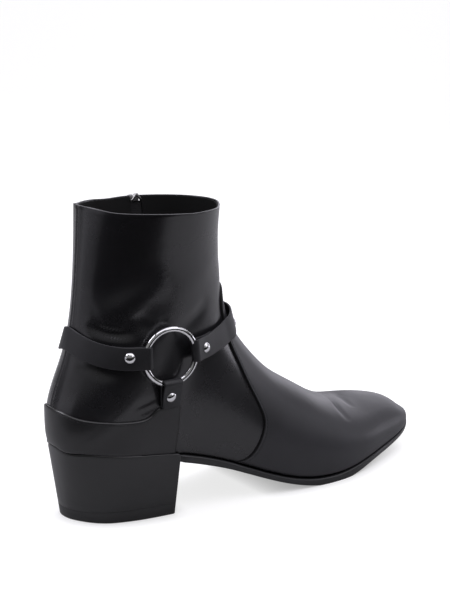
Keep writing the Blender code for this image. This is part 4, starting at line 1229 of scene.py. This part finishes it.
def band_lines(table, steps):
    """Foot line, head line and thickness of a band that wraps the shaft."""
    rows = stations(table, BAND_COLUMNS, steps)
    axis = np.array((AXIS_X, 0.0, 0.0))
    feet, heads = [], []
    for row in rows:
        turn = math.radians(row["turn"])
        out = np.array((math.cos(turn), math.sin(turn), 0.0))
        heights = row["mid_z"] + STRAP_WIDTH * np.linspace(-0.5, 0.5, BAND_PROBES)
        hits = [first_hit(axis + height * UP + out * BAND_PROBE_REACH, -out) for height in heights]
        reach = [math.hypot(hit[0] - AXIS_X, hit[1]) for hit in hits]
        bulge = max(0.0, float(np.max(reach - np.linspace(reach[0], reach[-1], BAND_PROBES))))
        feet.append(axis + out * (reach[0] + bulge + row["foot_off"]) + heights[0] * UP)
        heads.append(axis + out * (reach[-1] + bulge + row["head_off"]) + heights[-1] * UP)
    thick = np.array([row["thick"] for row in rows])
    return smooth(feet, BAND_SMOOTHING), smooth(heads, BAND_SMOOTHING), thick


def tab_lines(steps):
    """Back edge, front edge and thickness of the tab below the ring."""
    rows = stations(RING_TAB, TAB_COLUMNS, steps)
    backs, fronts = [], []
    for row in rows:
        probes = [(row["mid_x"] + aside, TAB_PROBE_Y, row["mid_z"]) for aside in (-TAB_HALF, 0.0, TAB_HALF)]
        face_y = min(first_hit(probe, (0.0, 1.0, 0.0))[1] for probe in probes) - row["off"]
        backs.append((row["mid_x"] - TAB_HALF, face_y, row["mid_z"]))
        fronts.append((row["mid_x"] + TAB_HALF, face_y, row["mid_z"]))
    thick = np.array([row["thick"] for row in rows])
    return smooth(backs, TAB_SMOOTHING), smooth(fronts, TAB_SMOOTHING), thick


def folded_band(name, feet, heads, thick, flip):
    """A band of one ply whose first end folds round the ring wire and runs back under itself."""
    middle = (feet + heads) / 2.0
    across = heads - feet
    run = np.gradient(middle, axis=0)
    out = unit(np.cross(run, across) * flip)
    half = STRAP_PLY / 2.0
    thick = np.maximum(thick, STRAP_PLY)
    rows = list(zip(middle, out, thick, across))
    path = [(p + n * (d - half), n, a) for p, n, d, a in rows][::-1]
    ahead = unit(-run[0])
    nose = middle[0] + out[0] * thick[0] / 2.0
    for angle in np.radians(np.arange(FOLD_TURN_DEG, 180.0, FOLD_TURN_DEG)):
        way = out[0] * math.cos(angle) + ahead * math.sin(angle)
        path.append((nose + way * (thick[0] / 2.0 - half), way, across[0]))
    path += [(p + n * half, -n, a) for p, n, d, a in rows if d > 2.0 * STRAP_PLY + FOLD_SLACK]
    points = []
    for place, way, wide in path:
        reach = np.linalg.norm(wide) / 2.0 - STRAP_CORNER
        wide = unit(wide)
        for quarter, (su, sv) in enumerate(((1, 1), (-1, 1), (-1, -1), (1, -1))):
            for angle in np.radians(np.linspace(0.0, 90.0, CORNER_STEPS) + 90.0 * quarter):
                points.append(place + wide * (su * reach + STRAP_CORNER * math.cos(angle))
                              + way * (sv * (half - STRAP_CORNER) + STRAP_CORNER * math.sin(angle)))
    return mesh_piece(name, points, tube_faces(len(path), 4 * CORNER_STEPS, False), STRAP_LEATHER)


back_strap = folded_band("back_strap", *band_lines(BACK_BAND, 120), -1.0)
dress(back_strap, "boot", "strap_leather", "strap_back")
front_strap = folded_band("front_strap", *band_lines(FRONT_BAND, 110), 1.0)
dress(front_strap, "boot", "strap_leather", "strap_front")
tab_strap = folded_band("tab_strap", *tab_lines(30), 1.0)
dress(tab_strap, "boot", "strap_leather", "ring_tab")

# Studs: domed rivet heads pressed from sheet metal and chromed, one on each fold and one over the instep.
# Each is clenched through its strap, so that it sits square on the leather.
STUD_PROFILE = ((0.0, 2.05), (0.7, 2.0), (1.4, 1.84), (2.05, 1.58), (2.6, 1.24), (3.05, 0.85), (3.35, 0.45),
                (3.5, 0.05), (3.45, -0.2), (3.1, -0.4), (3.0, -0.75), (0.0, -0.75))
STUD_STEPS = 40
STUDS = (("stud_back", back_strap, (0.0, 0.0, 0.0)), ("stud_front", front_strap, (-1.5, -0.8, -0.4)),
         ("stud_tab", tab_strap, (0.0, 0.0, 0.0)), ("stud_instep", front_strap, (0.6, 1.5, -0.8)))
stud_faces = tube_faces(len(STUD_PROFILE), STUD_STEPS, False)[:-2]
for solid, strap, shift in STUDS:
    cloud = np.array([v.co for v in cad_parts[solid].data.vertices])
    middle = Vector((cloud.min(0) + cloud.max(0)) / 2.0 + np.array(shift) * MM)
    seat, out = (np.array(v) for v in tree_of(strap).find_nearest(middle)[:2])
    level = unit(np.cross(out, UP))
    upright = np.cross(level, out)
    spokes = [level * math.cos(turn) + upright * math.sin(turn) for turn in full_turn(STUD_STEPS)]
    stud_points = [from_frame(seat) + out * rise + radius * spoke
                   for radius, rise in STUD_PROFILE for spoke in spokes]
    stud = mesh_piece(solid.replace("stud_", "") + "_stud", stud_points, stud_faces, CHROME)
    dress(stud, "boot", "chrome", solid)

# Stage: a white paper sweep that rises behind the boot, lit by soft boxes overhead, behind and at both sides.
# Paper and sky read white to the camera, and close to what stands on it the paper's glow is darkened as a
# painted contact shadow.
# The boxes on the camera's side are dim, so the leather stays black there.
CAMERA_TURN_DEG = -35.34
CAMERA_AIM = (130.0, 0.0)
CAMERA_REACH = 856.6
CAMERA_HEIGHT = 331.44
CAMERA_PITCH_DEG = 13.37
FOCAL_PX = 1313.81
FRAME_HEIGHT_PX = 600.0
SENSOR = 36.0
view_turn = math.radians(CAMERA_TURN_DEG)
view_right = np.array((math.cos(view_turn), math.sin(view_turn), 0.0))
view_ahead = np.array((-math.sin(view_turn), math.cos(view_turn), 0.0))
camera_data = bpy.data.cameras.new("camera")
camera_data.sensor_width = SENSOR
camera_data.lens = FOCAL_PX * SENSOR / FRAME_HEIGHT_PX
camera = put_in_scene("camera", camera_data)
camera.location = row_frame((*CAMERA_AIM, CAMERA_HEIGHT) - view_ahead * CAMERA_REACH)
camera.rotation_euler = (math.radians(90.0 - CAMERA_PITCH_DEG), 0.0, view_turn)
bpy.context.scene.camera = camera

SWEEP_FRONT = 0.24
SWEEP_BACK = 2.2
SWEEP_BEND = 0.5
SWEEP_HEIGHT = 1.9
SWEEP_HALF_WIDTH = 2.6
PAPER_GLOW = (0.79, 0.79, 0.79)
PAPER_CONTACT_SHADOW = (0.34, 0.34, 0.34)
PAPER_BOUNCE = (0.04, 0.04, 0.04)
CONTACT_SHADOW_REACH = 0.012
PAPER, paper_shade, paper_shader = finish("white_paper", (0.48, 0.48, 0.48), 0.9, specular=0.0)
paper_shader.inputs["Emission Strength"].default_value = 1.0
paper_seen = paper_shade.node("ShaderNodeLightPath", output="Is Camera Ray")
# Ambient occlusion darkens the paper's glow close to the boot: a painted contact shadow.
shadow_ao = paper_shade.node("ShaderNodeAmbientOcclusion", {"samples": 16}, {"Distance": CONTACT_SHADOW_REACH},
                            output="AO")
paper_glow_with_shadow = paper_shade.mix(shadow_ao, PAPER_CONTACT_SHADOW, PAPER_GLOW)
feed(paper_shade, paper_shader, Emission_Color=paper_shade.mix(paper_seen, PAPER_BOUNCE, paper_glow_with_shadow))
sweep_side = [(-SWEEP_FRONT, 0.0), (SWEEP_BACK - SWEEP_BEND, 0.0)]
sweep_side += [(SWEEP_BACK - SWEEP_BEND * (1.0 - math.sin(a)), SWEEP_BEND * (1.0 - math.cos(a)))
               for a in np.radians(np.linspace(10.0, 90.0, 9))]
sweep_side.append((SWEEP_BACK, SWEEP_HEIGHT))
sweep_points = [tuple(view_ahead * ahead + view_right * side * SWEEP_HALF_WIDTH + UP * rise)
                for ahead, rise in sweep_side for side in (-1.0, 1.0)]
sweep_mesh = bpy.data.meshes.new("paper_sweep")
sweep_mesh.from_pydata(sweep_points, [],
                       [(2 * i, 2 * i + 1, 2 * i + 3, 2 * i + 2) for i in range(len(sweep_side) - 1)])
sweep_mesh.shade_smooth()
sweep_mesh.materials.append(PAPER)
sweep = put_in_scene("paper_sweep", sweep_mesh)

# Each box: name, metres ahead, to the right and up as the camera sees it, size and power.
SOFT_BOXES = (("overhead", 0.1, 0.2, 1.5, (2.2, 1.7), 15.0), ("back", 1.5, 0.2, 0.9, (2.0, 0.8), 5.5),
              ("back_low", 1.5, 0.65, 0.24, (0.9, 0.4), 2.0), ("left", -0.1, -0.85, 1.1, (0.7, 0.6), 7.5),
              ("left_low", -0.5, -1.2, 0.2, (1.1, 0.4), 0.7), ("right", 0.6, 1.2, 0.2, (0.5, 0.3), 1.2),
              ("right_high", 0.1, 1.2, 1.05, (0.9, 0.7), 1.5),
              ("front_right", -0.6, 1.1, 0.9, (0.8, 0.6), 1.4))
BOX_COLOUR = (1.0, 0.98, 1.08)
BOX_AIM = Vector((0.0, 0.0, 0.1))
for name, ahead, right, height, size, power in SOFT_BOXES:
    box = bpy.data.lights.new(name, "AREA")
    box.shape = "RECTANGLE"
    box.size, box.size_y = size
    box.energy = power
    box.color = BOX_COLOUR
    lamp = put_in_scene(name, box)
    lamp.location = view_ahead * ahead + view_right * right + UP * height
    lamp.rotation_euler = (BOX_AIM - lamp.location).to_track_quat("-Z", "Y").to_euler()

SKY_GLOW = {"From Min": 0.0, "From Max": 0.4, "To Min": 0.012, "To Max": 0.22}
world = bpy.data.worlds.new("studio")
bpy.context.scene.world = world
world.use_nodes = True
sky = world.node_tree.nodes["Background"]
sky.inputs["Color"].default_value = (1.0, 1.0, 1.0, 1.0)
sky_shade = Shade(world.node_tree)
sky_way = sky_shade.node("ShaderNodeTexCoord", output="Generated")
sky_rise = sky_shade.node("ShaderNodeSeparateXYZ", {}, {0: sky_way}, output="Z")
sky_glow = sky_shade.node("ShaderNodeMapRange", {"interpolation_type": "SMOOTHSTEP"},
                          {"Value": sky_rise, **SKY_GLOW})
sky_seen = sky_shade.node("ShaderNodeLightPath", output="Is Camera Ray")
feed(sky_shade, sky, Strength=sky_glow + sky_seen)
bpy.context.scene.view_settings.view_transform = "Standard"
